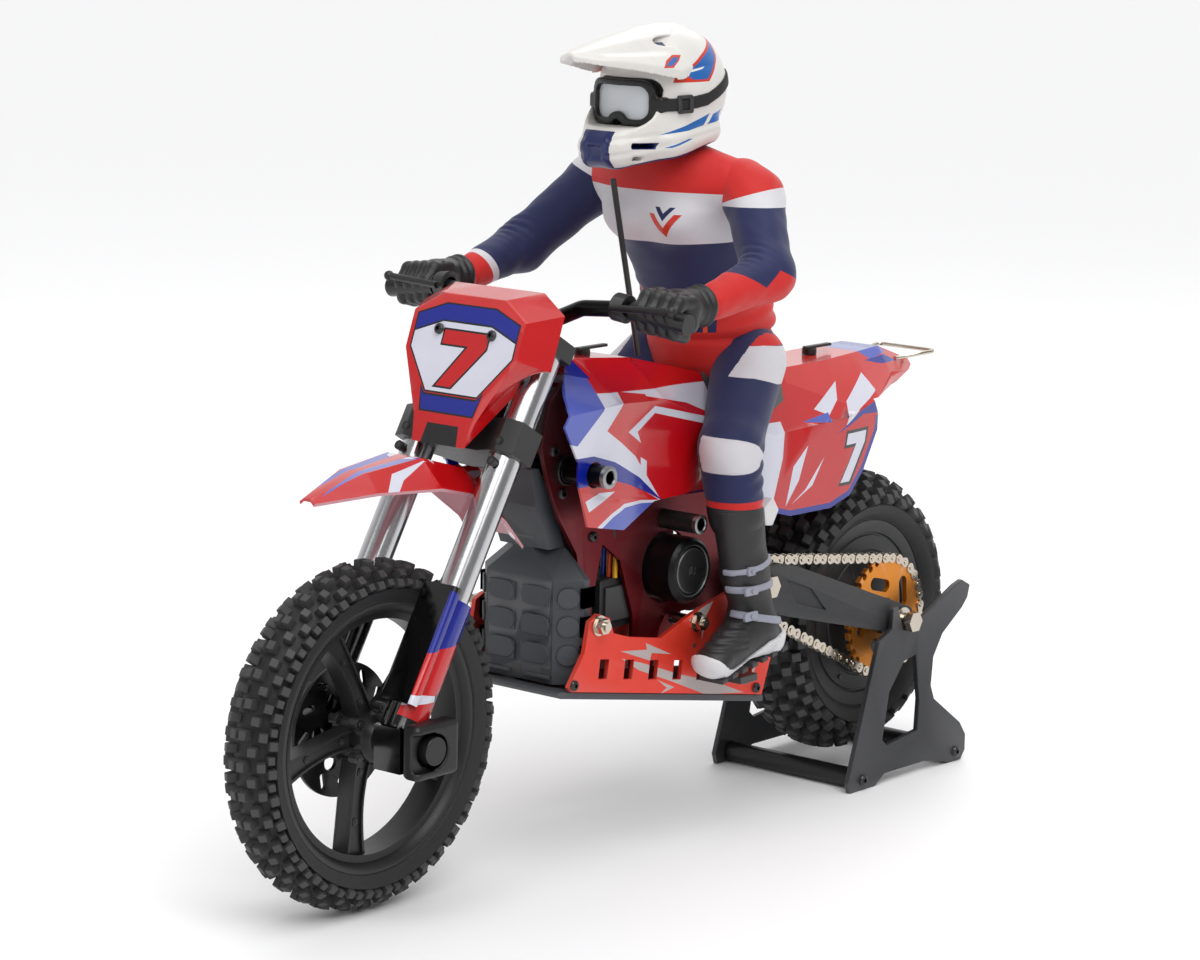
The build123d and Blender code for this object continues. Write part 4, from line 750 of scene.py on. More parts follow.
# ---------------------------------------------------------------- stage, light and camera
def stage():
    floor = bpy.data.meshes.new("floor")
    size = 30.0
    floor.from_pydata([(-size, -size, 0), (size, -size, 0), (size, size, 0), (-size, size, 0)], [],
                      [(0, 1, 2, 3)])
    ground = bpy.data.objects.new("floor", floor)
    bpy.context.scene.collection.objects.link(ground)
    pale = bpy.data.materials.new("floor_pale")
    pale.use_nodes = True
    pale.node_tree.nodes["Principled BSDF"].inputs["Base Color"].default_value = (0.93, 0.93, 0.94, 1)
    pale.node_tree.nodes["Principled BSDF"].inputs["Roughness"].default_value = 0.55
    floor.materials.append(pale)

    world = bpy.data.worlds.new("studio")
    bpy.context.scene.world = world
    world.use_nodes = True
    nodes, links = world.node_tree.nodes, world.node_tree.links
    backdrop = nodes["Background"]
    backdrop.inputs["Color"].default_value = (1, 1, 1, 1)
    way = nodes.new("ShaderNodeTexCoord")
    facing = nodes.new("ShaderNodeVectorMath")
    facing.operation = "DOT_PRODUCT"
    facing.inputs[1].default_value = Vector((-0.76, -0.64, 0.1)).normalized()
    level = nodes.new("ShaderNodeMapRange")
    level.inputs["From Min"].default_value = -0.1
    level.inputs["From Max"].default_value = 0.85
    level.inputs["To Min"].default_value = 0.3
    level.inputs["To Max"].default_value = 0.96
    links.new(way.outputs["Generated"], facing.inputs[0])
    links.new(facing.outputs["Value"], level.inputs["Value"])
    links.new(level.outputs["Result"], backdrop.inputs["Strength"])
    bpy.context.scene.view_settings.view_transform = "Standard"
    sky = bpy.data.lights.new("sky", "SUN")
    sky.energy = 1.75
    sky.angle = math.radians(55)
    overhead = bpy.data.objects.new("sky", sky)
    overhead.rotation_mode = "QUATERNION"
    overhead.rotation_quaternion = Vector((-0.35, -0.4, -1)).to_track_quat("-Z", "Y")
    bpy.context.scene.collection.objects.link(overhead)
    target = Vector((0, 0, 0.2))
    lamps = [("key", (0.5, 1.5, 1.5), 1.0, 7), ("fill", (1.7, -0.7, 0.9), 1.0, 3.5),
             ("rear", (-1.3, -0.6, 1.6), 1.0, 5),
             ("top", (0.1, 0.1, 1.9), 1.2, 3)]
    for name, place, size, power in lamps:
        light = bpy.data.lights.new(name, "AREA")
        light.size = size
        light.energy = power
        lamp = bpy.data.objects.new(name, light)
        lamp.location = place
        lamp.rotation_mode = "QUATERNION"
        lamp.rotation_quaternion = (target - Vector(place)).to_track_quat("-Z", "Y")
        bpy.context.scene.collection.objects.link(lamp)


def camera():
    """The camera: its place in millimetres, and where it looks in degrees."""
    place = Vector((1452.7, 1202.8, 528.3))
    yaw, pitch, roll = math.radians(-140.1), math.radians(10.32), math.radians(1.13)
    look = Vector((math.cos(yaw) * math.cos(pitch), math.sin(yaw) * math.cos(pitch), -math.sin(pitch)))
    right = look.cross(UP).normalized()
    over = right.cross(look)
    right, over = (right * math.cos(roll) + over * math.sin(roll),
                   over * math.cos(roll) - right * math.sin(roll))
    lens = bpy.data.cameras.new("camera")
    lens.lens = 112.54
    lens.clip_start, lens.clip_end = 0.1, 20
    eye = bpy.data.objects.new("camera", lens)
    turn = Matrix((right, over, -look)).transposed().to_4x4()
    eye.matrix_world = Matrix.Translation(place * MM) @ turn
    bpy.context.scene.collection.objects.link(eye)
    bpy.context.scene.camera = eye


# ---------------------------------------------------------------- structure: the CAD nodes' own shapes
def structure():
    """Machined and moulded parts keep their CAD shape, with rounded edges and a real surface."""
    looks = {
        "frame_plates": ("wine", 0.45), "skid_plate": ("grey_plastic", 0.6),
        "battery_pack": ("black_plastic", 0.5),
        "speed_controller": ("dark_plastic", 0.6), "steering_servo": ("black_plastic", 0.5),
        "servo_horn": ("black_plastic", 0.3), "steering_head": ("black_anodised", 0.5),
        "crash_bars": ("black_steel", 0.6), "motor_can": ("black_anodised", 0.5),
        "motor_mount": ("stand_grey", 0.4),
        "motor_rotor": ("steel", 0.2), "drive_sprocket": ("steel", 0.3), "pivot_shaft": ("nickel", 0.4),
        "drive_belt": ("belt", 0.2), "swingarm": ("arm_plastic", 0.9), "shock_body": ("black_anodised", 0.5),
        "shock_rod": ("steel", 0.4), "stand_plates": ("stand_grey", 0.55),
        "stand_tubes": ("black_steel", 0.4),
        "fork_tubes": ("tube_silver", 0.4), "upper_yoke": ("black_plastic", 0.9),
        "lower_yoke": ("black_plastic", 0.9), "front_axle": ("black_steel", 0.6),
        "foot_pegs": ("black_anodised", 0.6),
        "guard_nuts": ("nickel", 0.3), "shell_clips": ("black_plastic", 0.4),
    }
    for node, (material, bevel) in looks.items():
        refined(node, material, bevel)


# ---------------------------------------------------------------- painted body shells
def shell_surface(node, regions, palette, bevel=0.9, across=ACROSS_X, up=UP):
    """A CAD shell's own shape, cut along its graphics; a region is a polygon, a colour and its side."""
    bm = node_bmesh(node)
    for polygon, colour, side in regions:
        where = (lambda face, side=side: face.calc_center_median().y * side > 0) if side else None
        painted(bm, across, up, [(polygon, palette.index(colour))], where)
    piece = from_bmesh(f"{node}_painted", bm, palette, 28)
    bevelled(piece, bevel, 2, 20)
    return placed(piece, node)


PALETTE = ["shell_red", "shell_white", "shell_blue", "shell_red_reflection", "shell_pale_blue", "shell_black",
           "shell_grey", "shell_pink"]


def tank():
    """Shroud: blue front band, white field with red chevrons, and a striped lower flap."""
    regions = [
        ([(100, 243), (-50, 233), (-50, 216), (9, 179), (30, 186), (72, 200), (100, 222)], "shell_white", 0),
        ([(98, 260), (56, 247), (64, 233), (84, 218), (100, 222)], "shell_pale_blue", 0),
        ([(76, 262), (54, 262), (54, 246), (73, 250)], "shell_blue", 0),
        ([(43.4, 239.5), (61, 222.8), (36, 207), (10, 180.6), (-60, 172), (-60, 211), (-16.6, 227)],
         "shell_red", 0),
        # Paler red on the chevron's top: painted reflection.
        ([(43.4, 239.5), (61, 222.8), (36, 207), (22, 236)], "shell_red_reflection", 0),
        ([(43, 220), (18, 230), (-50, 214), (-50, 210), (18, 226.4), (34.4, 219), (31, 213)], "shell_white",
         0),
        ([(31, 206), (25, 203), (25, 186.5), (30, 189)], "shell_white", 0),
        ([(100, 212), (71, 211.5), (54.7, 206.7), (31.6, 195.7), (8.8, 180.5), (24, 187), (40, 193),
          (60, 199),
          (76, 197), (100, 197)], "shell_blue", 0),
        ([(76, 197), (60, 199), (40, 193), (24, 187), (9, 180), (26, 184), (46, 187), (90, 189)],
         "shell_red", 0),
        # Paler red across the lower flap: painted reflection.
        ([(90, 197), (74, 193), (62, 190), (46, 187), (26, 184), (9, 180), (20, 160), (90, 160)],
         "shell_red_reflection", 0),
        ([(77, 189.6), (66, 192.6), (54, 191.8), (64, 187.6), (74, 184)], "shell_white", 0),
        ([(67, 175.6), (56, 181), (45.8, 184.4), (30, 184), (12, 181.4), (20, 160), (70, 160)],
         "shell_white", 0),
        ([(64.5, 174), (55, 179), (45, 182.4), (30, 182.4), (14, 180.6), (20, 160), (70, 160)],
         "shell_pale_blue", 0),
    ]
    return shell_surface("tank_shell", regions, PALETTE)


def seven(centre, tall, side):
    """A plain slanted 7 for a side panel, with its outline; side is 1 on the left, -1 on the right."""
    def shape(grow):
        points = [(-8.5 - grow, tall / 2 + grow), (9.5 + grow, tall / 2 + grow),
                  (9.5 + grow, tall / 2 - 6 - grow * 0.6),
                  (-0.6 + grow, -tall / 2 - grow), (-8.6 - grow, -tall / 2 - grow),
                  (1.2 - grow, tall / 2 - 6 - grow), (-8.5 - grow, tall / 2 - 6 - grow)]
        return [(centre[0] - side * (u + 0.22 * v), centre[1] + v) for u, v in points]
    return shape(1.7), shape(0)


def tail():
    """Tail and seat: a grey seat patch, white and blue flashes, a numbered side panel with a blue edge."""
    outline = [(-82, 162.5), (-99, 158), (-134.5, 157.6), (-152, 162.4), (-165, 174.4), (-178, 194.8),
               (-179, 202.8)]
    inner = [(-176, 203), (-175, 195.8), (-162.5, 176.6), (-150.4, 165.2), (-134, 160.6), (-99, 161),
             (-82, 165.4)]
    regions = [
        # Paler red over the upper rear of the tail: painted reflection.
        ([(-112, 260), (-112, 226), (-150, 212), (-185, 206), (-250, 214), (-250, 260)], "shell_red_reflection", 0),
        ([(-40, 260), (-92, 260), (-108, 227), (-103, 218), (-84, 212.5), (-40, 206)], "shell_grey", 0),
        ([(-56, 206), (-72, 209), (-93, 208.6), (-91.5, 189.6), (-81, 158), (-56, 158)], "shell_white", 0),
        ([(-124, 211.5), (-152, 223), (-146, 214), (-134, 207.5)], "shell_white", 0),
        ([(-110, 206.6), (-134, 209), (-134, 203.9)], "shell_pale_blue", 0),
        ([(-146.4, 198.9), (-152.9, 212.6), (-176.7, 225), (-180, 216), (-172, 212.5), (-160, 208)],
         "shell_white", 0),
        ([(-139.3, 196.8), (-160, 207), (-184, 213), (-184, 204), (-164, 205)], "shell_blue", 0),
        (outline + inner, "shell_blue", 0),
        ([(-95, 163.4), (-101, 184), (-113.4, 194), (-106, 176)], "shell_white", 0),
        ([(-100, 164), (-112, 170.5), (-128, 186), (-118, 172)], "shell_white", 0),
        ([(-176, 240), (-200, 240), (-212, 232), (-192, 230)], "shell_pale_blue", 0),
        ([(-186, 230), (-208, 231), (-222, 226), (-200, 227)], "shell_blue", 0),
    ]
    for side in (1, -1):
        rim, digit = seven((-154.5, 183), 26, side)
        regions += [(rim, "shell_black", side), (digit, "shell_white", side)]
    return shell_surface("tail_shell", regions, PALETTE)


BOARD_TILT = math.radians(20)
BOARD_OUT = Vector((math.cos(BOARD_TILT), 0, math.sin(BOARD_TILT)))
BOARD_UP = Vector((-math.sin(BOARD_TILT), 0, math.cos(BOARD_TILT)))


def number_board():
    """Number board: blue bands, a white field with a dark line round it and a plain numeral."""
    face = Vector((120.5, 0, 264.0))
    shift = face.dot(BOARD_UP)

    def lifted(points):
        return [(u, v + shift) for u, v in points]

    regions = [
        # Paler red band along the board's top: painted reflection.
        ([(-20, 28), (20, 28), (36, 18), (36, 12), (18, 21), (-18, 21), (-36, 12), (-36, 18)],
         "shell_red_reflection"),
        ([(-33.5, 16), (-16, 22.6), (16, 22.6), (33.5, 16), (33.5, -1.4), (17, -22.4), (-17, -22.4),
          (-33.5, -1.4)],
         "shell_black"),
        ([(-32.6, 15.4), (-15.7, 21.8), (15.7, 21.8), (32.6, 15.4), (32.6, 7.6), (15.7, 14), (-15.7, 14),
          (-32.6, 7.6)], "shell_blue"),
        ([(-32.6, 6.6), (-15.7, 13), (15.7, 13), (32.6, 6.6), (32.6, -1.1), (16.6, -21.5), (-16.6, -21.5),
          (-32.6, -1.1)], "shell_white"),
        ([(-20.6, -18.6), (-17, -22.8), (17, -22.8), (20.6, -18.6), (17.6, -32), (-17.6, -32)],
         "shell_black"),
        ([(-19.6, -20.6), (-17, -23.8), (17, -23.8), (19.6, -20.6), (16.8, -31.1), (-16.8, -31.1)],
         "shell_blue"),
        ([(-14.3, 10.1), (16.3, 10.1), (16.3, 1.6), (-0.7, -19.7), (-13.2, -19.7), (1.6, 1.2), (-14.3, 1.2)],
         "shell_black"),
        ([(-13.3, 9.1), (15.3, 9.1), (15.3, 2.1), (-1.3, -18.7), (-11.2, -18.7), (3.6, 2.2), (-13.3, 2.2)],
         "shell_red"),
        ([(-10, -37), (10, -37), (12, -49), (-12, -49)], "shell_black"),
    ]
    flat = [(lifted(points), colour, 0) for points, colour in regions]
    shell_surface("number_board", flat, PALETTE, 0.7, ACROSS_Y, BOARD_UP)
    bolts = [face + BOARD_OUT * 0.05 + ACROSS_Y * y + BOARD_UP * 9.0 for y in (-17, 17)]
    screw_heads("number_board_screws", bolts, BOARD_OUT, "black_steel", 2.7, 1.8, "fork")


def fender():
    """Front mudguard: white lightning and blue flashes on both side faces, pink underneath."""
    bolt = [(233, 12), (192, 19.5), (182, 12.5), (158, 12.5), (178, 16.5), (190, 23), (200, 16.5), (212, 15)]
    blue = [(221, 4.5), (190, 7.6), (158, 11), (158, 4.6), (188, 2.4)]
    white = [(166, 4), (152, 5), (152, 12), (164, 8)]
    bm = node_bmesh("front_fender")
    for side in (1, -1):
        for points, colour in ((blue, "shell_pale_blue"), (white, "shell_white"), (bolt, "shell_white")):
            flash = [(x, y * side) for x, y in points]
            painted(bm, ACROSS_X, ACROSS_Y, [(flash, PALETTE.index(colour))])
    bm.normal_update()
    for face in bm.faces:
        if face.normal.z < -0.3:
            face.material_index = PALETTE.index("shell_pink")
    piece = from_bmesh("front_fender_painted", bm, PALETTE, 28)
    placed(bevelled(piece, 0.5, 2, 20), "front_fender")


def guards():
    """Orange side guards with pale printed flashes."""
    prints = [
        [(42, 108.5), (21.3, 106), (22.3, 109.6), (1.8, 100.5), (17.4, 103.6), (18.7, 99.9)],
        [(41.2, 104.6), (24.5, 99.6), (-6.3, 88.5), (-36.1, 79.6), (-59.5, 70), (-27.5, 74.4), (0.5, 86),
         (27.7, 96.5)],
        [(12.4, 88.9), (-1.4, 82.7), (10.4, 81), (4.6, 83.4)],
        [(-12, 116), (-35.1, 127), (-23, 112), (-23, 104), (-27, 116), (-18, 112.6)],
        [(-62, 92), (-70, 84), (-66, 76), (-63, 84)],
    ]
    bm = node_bmesh("guard_plates")
    for side in (1, -1):
        for polygon in prints:
            painted(bm, ACROSS_X, UP, [(polygon, 1)], lambda f, s=side: f.calc_center_median().y * s > 38.99)
    placed(bevelled(from_bmesh("guard_plates_skin", bm, ["orange", "orange_print"], 28), 0.4, 2),
           "guard_plates")
    # Thin black discs at the two small holes: painted shade for the holes' dark insides.
    bm = bmesh.new()
    for side in (1, -1):
        for hole in ((1, 101.6), (-62, 74.5)):
            add_disc(bm, Vector((hole[0] - 18 * (hole[0] > 0), 39.02 * side, hole[1] + 0.4)),
                     Vector((0, side, 0)), 1.2, 0.12, 20)
    placed(from_bmesh("guard_hole_shade", bm, ["black_steel"]), "guard_plates", replaces=False)


# ---------------------------------------------------------------- battery box
def battery_box():
    """Dark moulded box: rows of pill-shaped pads, lower windows with lips, and a slotted neck."""
    refined("battery_box", "grey_plastic", 0.8)
    face_x = 75.0
    bm = bmesh.new()

    def pill(centre, across, up, out, half_long, half_tall):
        outline = []
        for k in range(9):
            turn = math.radians(-90 + 180 * k / 8)
            outline.append((half_long - half_tall + half_tall * math.cos(turn), half_tall * math.sin(turn)))
        for k in range(9):
            turn = math.radians(90 + 180 * k / 8)
            outline.append((-half_long + half_tall + half_tall * math.cos(turn), half_tall * math.sin(turn)))
        add_prism(bm, outline, centre, across, up, out)

    for height in (138, 123.5, 109):
        for side in (-1, 1):
            centre = Vector((face_x - 0.2, side * 11.2, height))
            pill(centre, ACROSS_Y, UP, 1.7, 9.0, 5.0)
    corner_out = Vector((1, 1, 0)).normalized()
    for side in (-1, 1):
        out = Vector((corner_out.x, corner_out.y * side, 0))
        across = UP.cross(out)
        for height in (138, 123.5, 109):
            centre = Vector((face_x - 5.5, side * 27.5, height)) - out * 0.3
            pill(centre, across, UP, 1.6, 5.6, 5.0)
        for height in (138, 123.5, 109):
            centre = Vector((61.6, side * 32.7, height))
            pill(centre, Vector((-side, 0, 0)), UP, 1.0, 1.9, 5.0)
    for y_at, wide in ((-13, 8), (13, 8)):
        frame_line = [(-wide, -4.5), (wide, -4.5), (wide, -2.8), (-wide, -2.8)]
        add_prism(bm, frame_line, Vector((face_x - 0.2, y_at, 101.2)), ACROSS_Y, UP, 1.6)
    placed(bevelled(from_bmesh("battery_box_pads", bm, ["grey_plastic"]), 0.55, 2), "battery_box",
           replaces=False)
    # Thin black sheets in the lower windows and the neck's slots: painted shade for their dark insides.
    bm = bmesh.new()
    for y_at in (-22, -2, 18):
        add_prism(bm, [(-3.2, -4), (4, -4), (4, 1), (-3.2, 1)], Vector((face_x - 0.5, y_at, 100.6)),
                  ACROSS_Y, UP, 0.62)
    for step in range(4):
        along = step / 3
        centre = Vector((74.0 + 9.0 * along, 0, 167 + 30 * along))
        lean = Vector((0.3, 0, 1)).normalized()
        add_prism(bm, [(-9, -1.0), (9, -1.0), (9, 1.0), (-9, 1.0)], centre, ACROSS_Y, lean, 0.6)
    placed(from_bmesh("battery_box_slot_shade", bm, ["black_plastic"]), "battery_box", replaces=False)


# ---------------------------------------------------------------- fork
def fork_spot(height, side=1):
    """Centre of a fork tube at a height."""
    lift = (height - STEER.z - FORK_AHEAD * STEER_AHEAD.z) / STEER_UP.z
    return STEER + STEER_AHEAD * FORK_AHEAD + STEER_UP * lift + ACROSS_Y * FORK_SIDE * side


def fork():
    bm = node_bmesh("fork_legs")
    film = [
        ([(146, 142), (170, 161), (189, 130), (156.8, 131.5)], 1),
        ([(156.8, 131.5), (189, 130), (198, 112.8), (178.6, 109), (164, 112)], 2),
        ([(178.6, 109), (198, 112.8), (203, 106.5), (178.5, 106.2)], 3),
        ([(178.5, 106.2), (203, 106.5), (190, 98), (178.3, 94.4)], 2),
    ]
    painted(bm, ACROSS_X, UP, film, lambda face: abs(face.calc_center_median().y) > FORK_SIDE + 3)
    legs_skin = from_bmesh("fork_legs_skin", bm, ["gloss_black", "shell_blue", "shell_red", "shell_white"],
                           35)
    placed(bevelled(legs_skin, 0.7, 2), "fork_legs")
    bm = bmesh.new()
    for side in (1, -1):
        for height in (218.5, 209.5):
            centre = fork_spot(height, side) + STEER_AHEAD * 8.6 + ACROSS_Y * side * 2
            add_disc(bm, centre, STEER_AHEAD, 2.4, 3.2, 24)
            add_disc(bm, centre + STEER_AHEAD * 3.2, STEER_AHEAD, 1.2, 0.15, 6)
    placed(bevelled(from_bmesh("yoke_bolts", bm, ["black_steel"]), 0.4, 2), "lower_yoke", replaces=False)
    bm = bmesh.new()
    plate = [(-8, 24), (-8, -24), (4, -30), (20, -30), (24, -20), (24, 20), (20, 30), (4, 30)]
    top = STEER + STEER_UP * ((257 - STEER.z) / STEER_UP.z + 4.7)
    add_prism(bm, [(u, v) for u, v in plate], top, STEER_AHEAD, ACROSS_Y, 1.6)
    placed(bevelled(from_bmesh("upper_yoke_plate", bm, ["orange"]), 0.4, 2), "upper_yoke", replaces=False)
    ends = []
    for side in (1, -1):
        ends.append(fork_spot(265.5, side) + STEER_UP * 0.6)
    screw_heads("fork_caps", ends, STEER_UP, "black_anodised", 6.2, 2.6, "fork")


def axle_cups():
    """Cast housings round the ends of the front axle, each with a round recess for the axle's cap."""
    middle = (FRONT_HUB.x - 2.0, 0, FRONT_HUB.z)
    outer_y, cap_r, floor_y = 42.4, 8.4, 38.4
    for side in (1, -1):
        field = Field((middle[0] - 18, 34, middle[2] - 16), (middle[0] + 18, 49, middle[2] + 16), 0.5)
        around = np.sqrt((field.x - FRONT_HUB.x) ** 2 + (field.z - FRONT_HUB.z) ** 2)
        field.join(field.block((middle[0], outer_y, middle[2]), (15, 5.4, 13.4), 3.2))
        field.cut(np.maximum(around - cap_r, floor_y - field.y), 0.8)
        field.cut(field.block((middle[0] + 9.5, outer_y + 4.6, middle[2]), (8.2, 3.2, 9.4), 2.0), 0.8)
        bm = relaxed(field.bmesh(), 1)
        if side < 0:
            bmesh.ops.scale(bm, vec=(1, -1, 1), verts=bm.verts)
            bmesh.ops.reverse_faces(bm, faces=bm.faces)
        name = "axle_cup_left" if side > 0 else "axle_cup_right"
        placed(from_bmesh(name, bm, ["black_plastic"], 50), "fork_legs", replaces=False)


# ---------------------------------------------------------------- handlebar, levers, wires and small parts
def handlebar():
    refined("handlebar", "black_steel", 0.3)
    bm = node_bmesh("levers")
    placed(bevelled(from_bmesh("levers_skin", bm, ["black_plastic"]), 0.3, 2), "levers")


def small_parts():
    """Spring, wires, antenna, bail, screws."""
    low, high = box_mm("shock_spring")
    centre = (low + high) / 2
    turns, steps = 6.0, 24
    points = []
    wire = 1.3
    for k in range(int(turns * steps) + 1):
        turn = 2 * math.pi * k / steps
        rise = low.z + wire + (high.z - low.z - 2 * wire) * k / (turns * steps)
        points.append((centre.x + 7.6 * math.cos(turn), centre.y + 7.6 * math.sin(turn), rise))
    curve = tube("spring_line", points, wire, "steel")
    bpy.context.view_layer.update()
    mesh = bpy.data.meshes.new_from_object(curve.evaluated_get(bpy.context.evaluated_depsgraph_get()))
    bpy.data.objects.remove(curve)
    spring = bpy.data.objects.new("shock_spring_coil", mesh)
    bpy.context.scene.collection.objects.link(spring)
    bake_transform(spring)
    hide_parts("shock_spring")

    colours = ["wire_blue", "wire_orange", "wire_yellow"]
    for wire_y, colour in zip((9.5, 13.5, 17.5), colours):
        route = [(22, wire_y, 140), (21.6, wire_y, 160), (20, wire_y + 0.6, 178), (8, wire_y, 186),
                 (-1, wire_y, 176),
                 (-1.6, wire_y, 157.6)]
        placed(tube(f"motor_wire_{colour[5:]}", route, 1.35, colour), "motor_wires")
    pairs = [((34, 12, 196), (30, 20, 176), (22, 19, 160), (10, 15, 142)),
             ((36, 8, 196), (33, 23, 172), (25, 21, 158), (12, 17.5, 142))]
    for at, route in enumerate(pairs):
        lead = tube(f"servo_lead_{at}", route, 1.0, "wire_black")
        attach(lead, "frame")
    refined("antenna", "black_plastic", 0.2)
    refined("tail_bail", "nickel", 0)
    face = box_mm("frame_plates")[1].y
    screw_places = [(66, 232), (77, 212), (70, 190), (46, 165), (-60, 150), (-74, 185), (-102, 202)]
    guard_places = [(78.0, 97.0), (-69.6, 70.8)]
    for side, name in ((1, "left"), (-1, "right")):
        spots = [Vector((x, face * side, z)) for x, z in screw_places]
        spots += [Vector((x, 39.0 * side, z)) for x, z in guard_places]
        piece = screw_heads(f"{name}_frame_screws", spots, Vector((0, side, 0)), "black_steel", 2.7, 1.8)
        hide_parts("frame_screws")
        feet = [Vector((x, 47.35 * side, 5.8)) for x in (-156.4, -244.0)]
        screw_heads(f"{name}_stand_screws", feet, Vector((0, side, 0)), "black_steel", 2.9, 2.0, "stand")
    bm = bmesh.new()
    for bar, radius in (((70.0, 202.0), 5.5), ((-10.0, 167.0), 5.0)):
        reach = 53.0 if radius > 5.2 else 47.0
        for side in (1, -1):
            out = Vector((0, side, 0))
            place = Vector((bar[0], reach * side - 0.6 * side, bar[1]))
            side_axis, other = ACROSS_X, out.cross(ACROSS_X)
            rings = []
            for reach_r, rise in ((radius + 0.05, -1.5), (radius + 0.05, 0.75), (radius - 0.6, 1.0),
                                  (3.6, 1.0), (3.2, 0.2)):
                rings.append([bm.verts.new(place + out * rise + (side_axis * math.cos(2 * math.pi * k / 32)
                                           + other * math.sin(2 * math.pi * k / 32)) * reach_r)
                                           for k in range(32)])
            for a, b in zip(rings, rings[1:]):
                for k in range(32):
                    bm.faces.new((a[k], a[(k + 1) % 32], b[(k + 1) % 32], b[k]))
    placed(from_bmesh("crash_bar_ends", bm, ["steel"], 40), "crash_bars", replaces=False)


# ---------------------------------------------------------------- rider
TORSO = np.array([
    (226, -78, 26, 30), (240, -76, 30, 33), (256, -73, 30.5, 33.5), (262, -72, 32, 34.5),
    (274, -69, 31, 33.5),
    (290, -62, 31, 34.5), (306, -52, 30, 37.5), (323, -41, 27.5, 40), (336, -36, 23, 36), (346, -32, 18, 25),
    (355, -29, 14.5, 15), (368, -28, 13, 13),
])
HIP, KNEE, BOOT_TOP = Vector((-72, 27, 242)), Vector((-25, 51, 203)), Vector((-31, 53, 170))


def grid_noise(field, size, seed, stretch=(1, 1, 1)):
    """A smooth random field, of waves in a few directions."""
    picks = np.random.default_rng(seed)
    total = np.zeros_like(field.value)
    for _ in range(7):
        way = picks.normal(size=3) * np.array(stretch)
        way = way / np.linalg.norm(way) * 2 * math.pi / size * picks.uniform(0.7, 1.4)
        total += np.sin(field.x * way[0] + field.y * way[1] + field.z * way[2] + picks.uniform(0, 6.3))
    return total / 7


def sliced(bm, cuts):
    """Adds edges where planes meet a mesh; each cut is a point and a normal."""
    for point, normal in cuts:
        bmesh.ops.bisect_plane(bm, geom=bm.verts[:] + bm.edges[:] + bm.faces[:], dist=1e-4, plane_co=point,
                               plane_no=Vector(normal).normalized())
    return bm


def coloured(bm, rule):
    for face in bm.faces:
        face.material_index = rule(face.calc_center_median())
    return bm


def torso():
    field = Field((-112, -52, 228), (0, 52, 368), 1.05)
    middle, deep, wide = (np.interp(field.z, TORSO[:, 0], TORSO[:, k]) for k in (1, 2, 3))
    x, y = (field.x - middle) / deep, field.y / wide
    body = ((np.abs(x) ** 2.25 + np.abs(y) ** 2.25) ** (1 / 2.25) - 1) * np.minimum(deep, wide)
    field.join(body)
    for side in (1, -1):
        field.join(field.ellipsoid((-27, 14 * side, 318), (17, 16, 12)), 9)
        field.join(field.capsule((-32, 9 * side, 346), (-38, 37 * side, 337.5), 13.5, 13.5), 9)
    fold = field.z - 256 + 0.06 * (field.x + 70)
    field.value += 1.9 * np.exp(-((fold / 1.7) ** 2))
    flank = np.clip((np.abs(field.y) - 8) / 20, 0, 1) * np.clip(1 - np.abs(field.z - 272) / 18, 0, 1)
    field.value += 0.75 * flank * np.sin((field.z + 0.3 * field.x) * 2 * math.pi / 8.5)
    field.value += 0.5 * grid_noise(field, 26, 3, (0.6, 0.6, 1.4))
    field.cut(field.ellipsoid((-60, 0, 226), (44, 20, 8)), 3)
    bm = relaxed(field.bmesh(), 2)
    front = Vector((-20, 0, 333))
    sliced(bm, [(front, (0, 0, 1)), (Vector((-20, 0, 306)), (0.06, 0, 1)),
                (Vector((0, 0, 256)), (0.06, 0, 1)),
                (Vector((0, 0, 282)), (0.1, 0, 1)), (Vector((0, 0, 276)), (0.1, 0, 1))])
    for side in (1, -1):
        for turn in (33, 37, 45):
            way = Vector((-math.sin(math.radians(turn)), math.cos(math.radians(turn)) * side, 0))
            sliced(bm, [(Vector((-72, 0, 262)), way)])

    def band(spot):
        if spot.z > 333:
            return 0
        if spot.z > 306 - 0.06 * (spot.x + 20):
            return 1
        if spot.z < 256 - 0.06 * spot.x:
            return 0
        turn = math.degrees(math.atan2(abs(spot.y), spot.x + 72))
        if spot.z < 282 - 0.1 * spot.x and turn > 45:
            return 0
        if spot.z < 276 - 0.1 * spot.x and 33 < turn < 37:
            return 3
        return 2

    coloured(bm, band)
    chevron = [(8, 322), (17, 310), (26, 322), (22.5, 322), (17, 315), (11.5, 322)]
    small = [(11.5, 325.5), (17, 318.5), (22.5, 325.5), (19.8, 325.5), (17, 322.3), (14.2, 325.5)]
    painted(bm, ACROSS_Y, UP, [(chevron, 4), (small, 2)], lambda face: face.calc_center_median().x > -30)
    placed(from_bmesh("rider_jersey", bm,
                      ["cloth_red", "cloth_white", "cloth_navy", "cloth_orange", "helmet_red"], 60),
           "rider_torso")


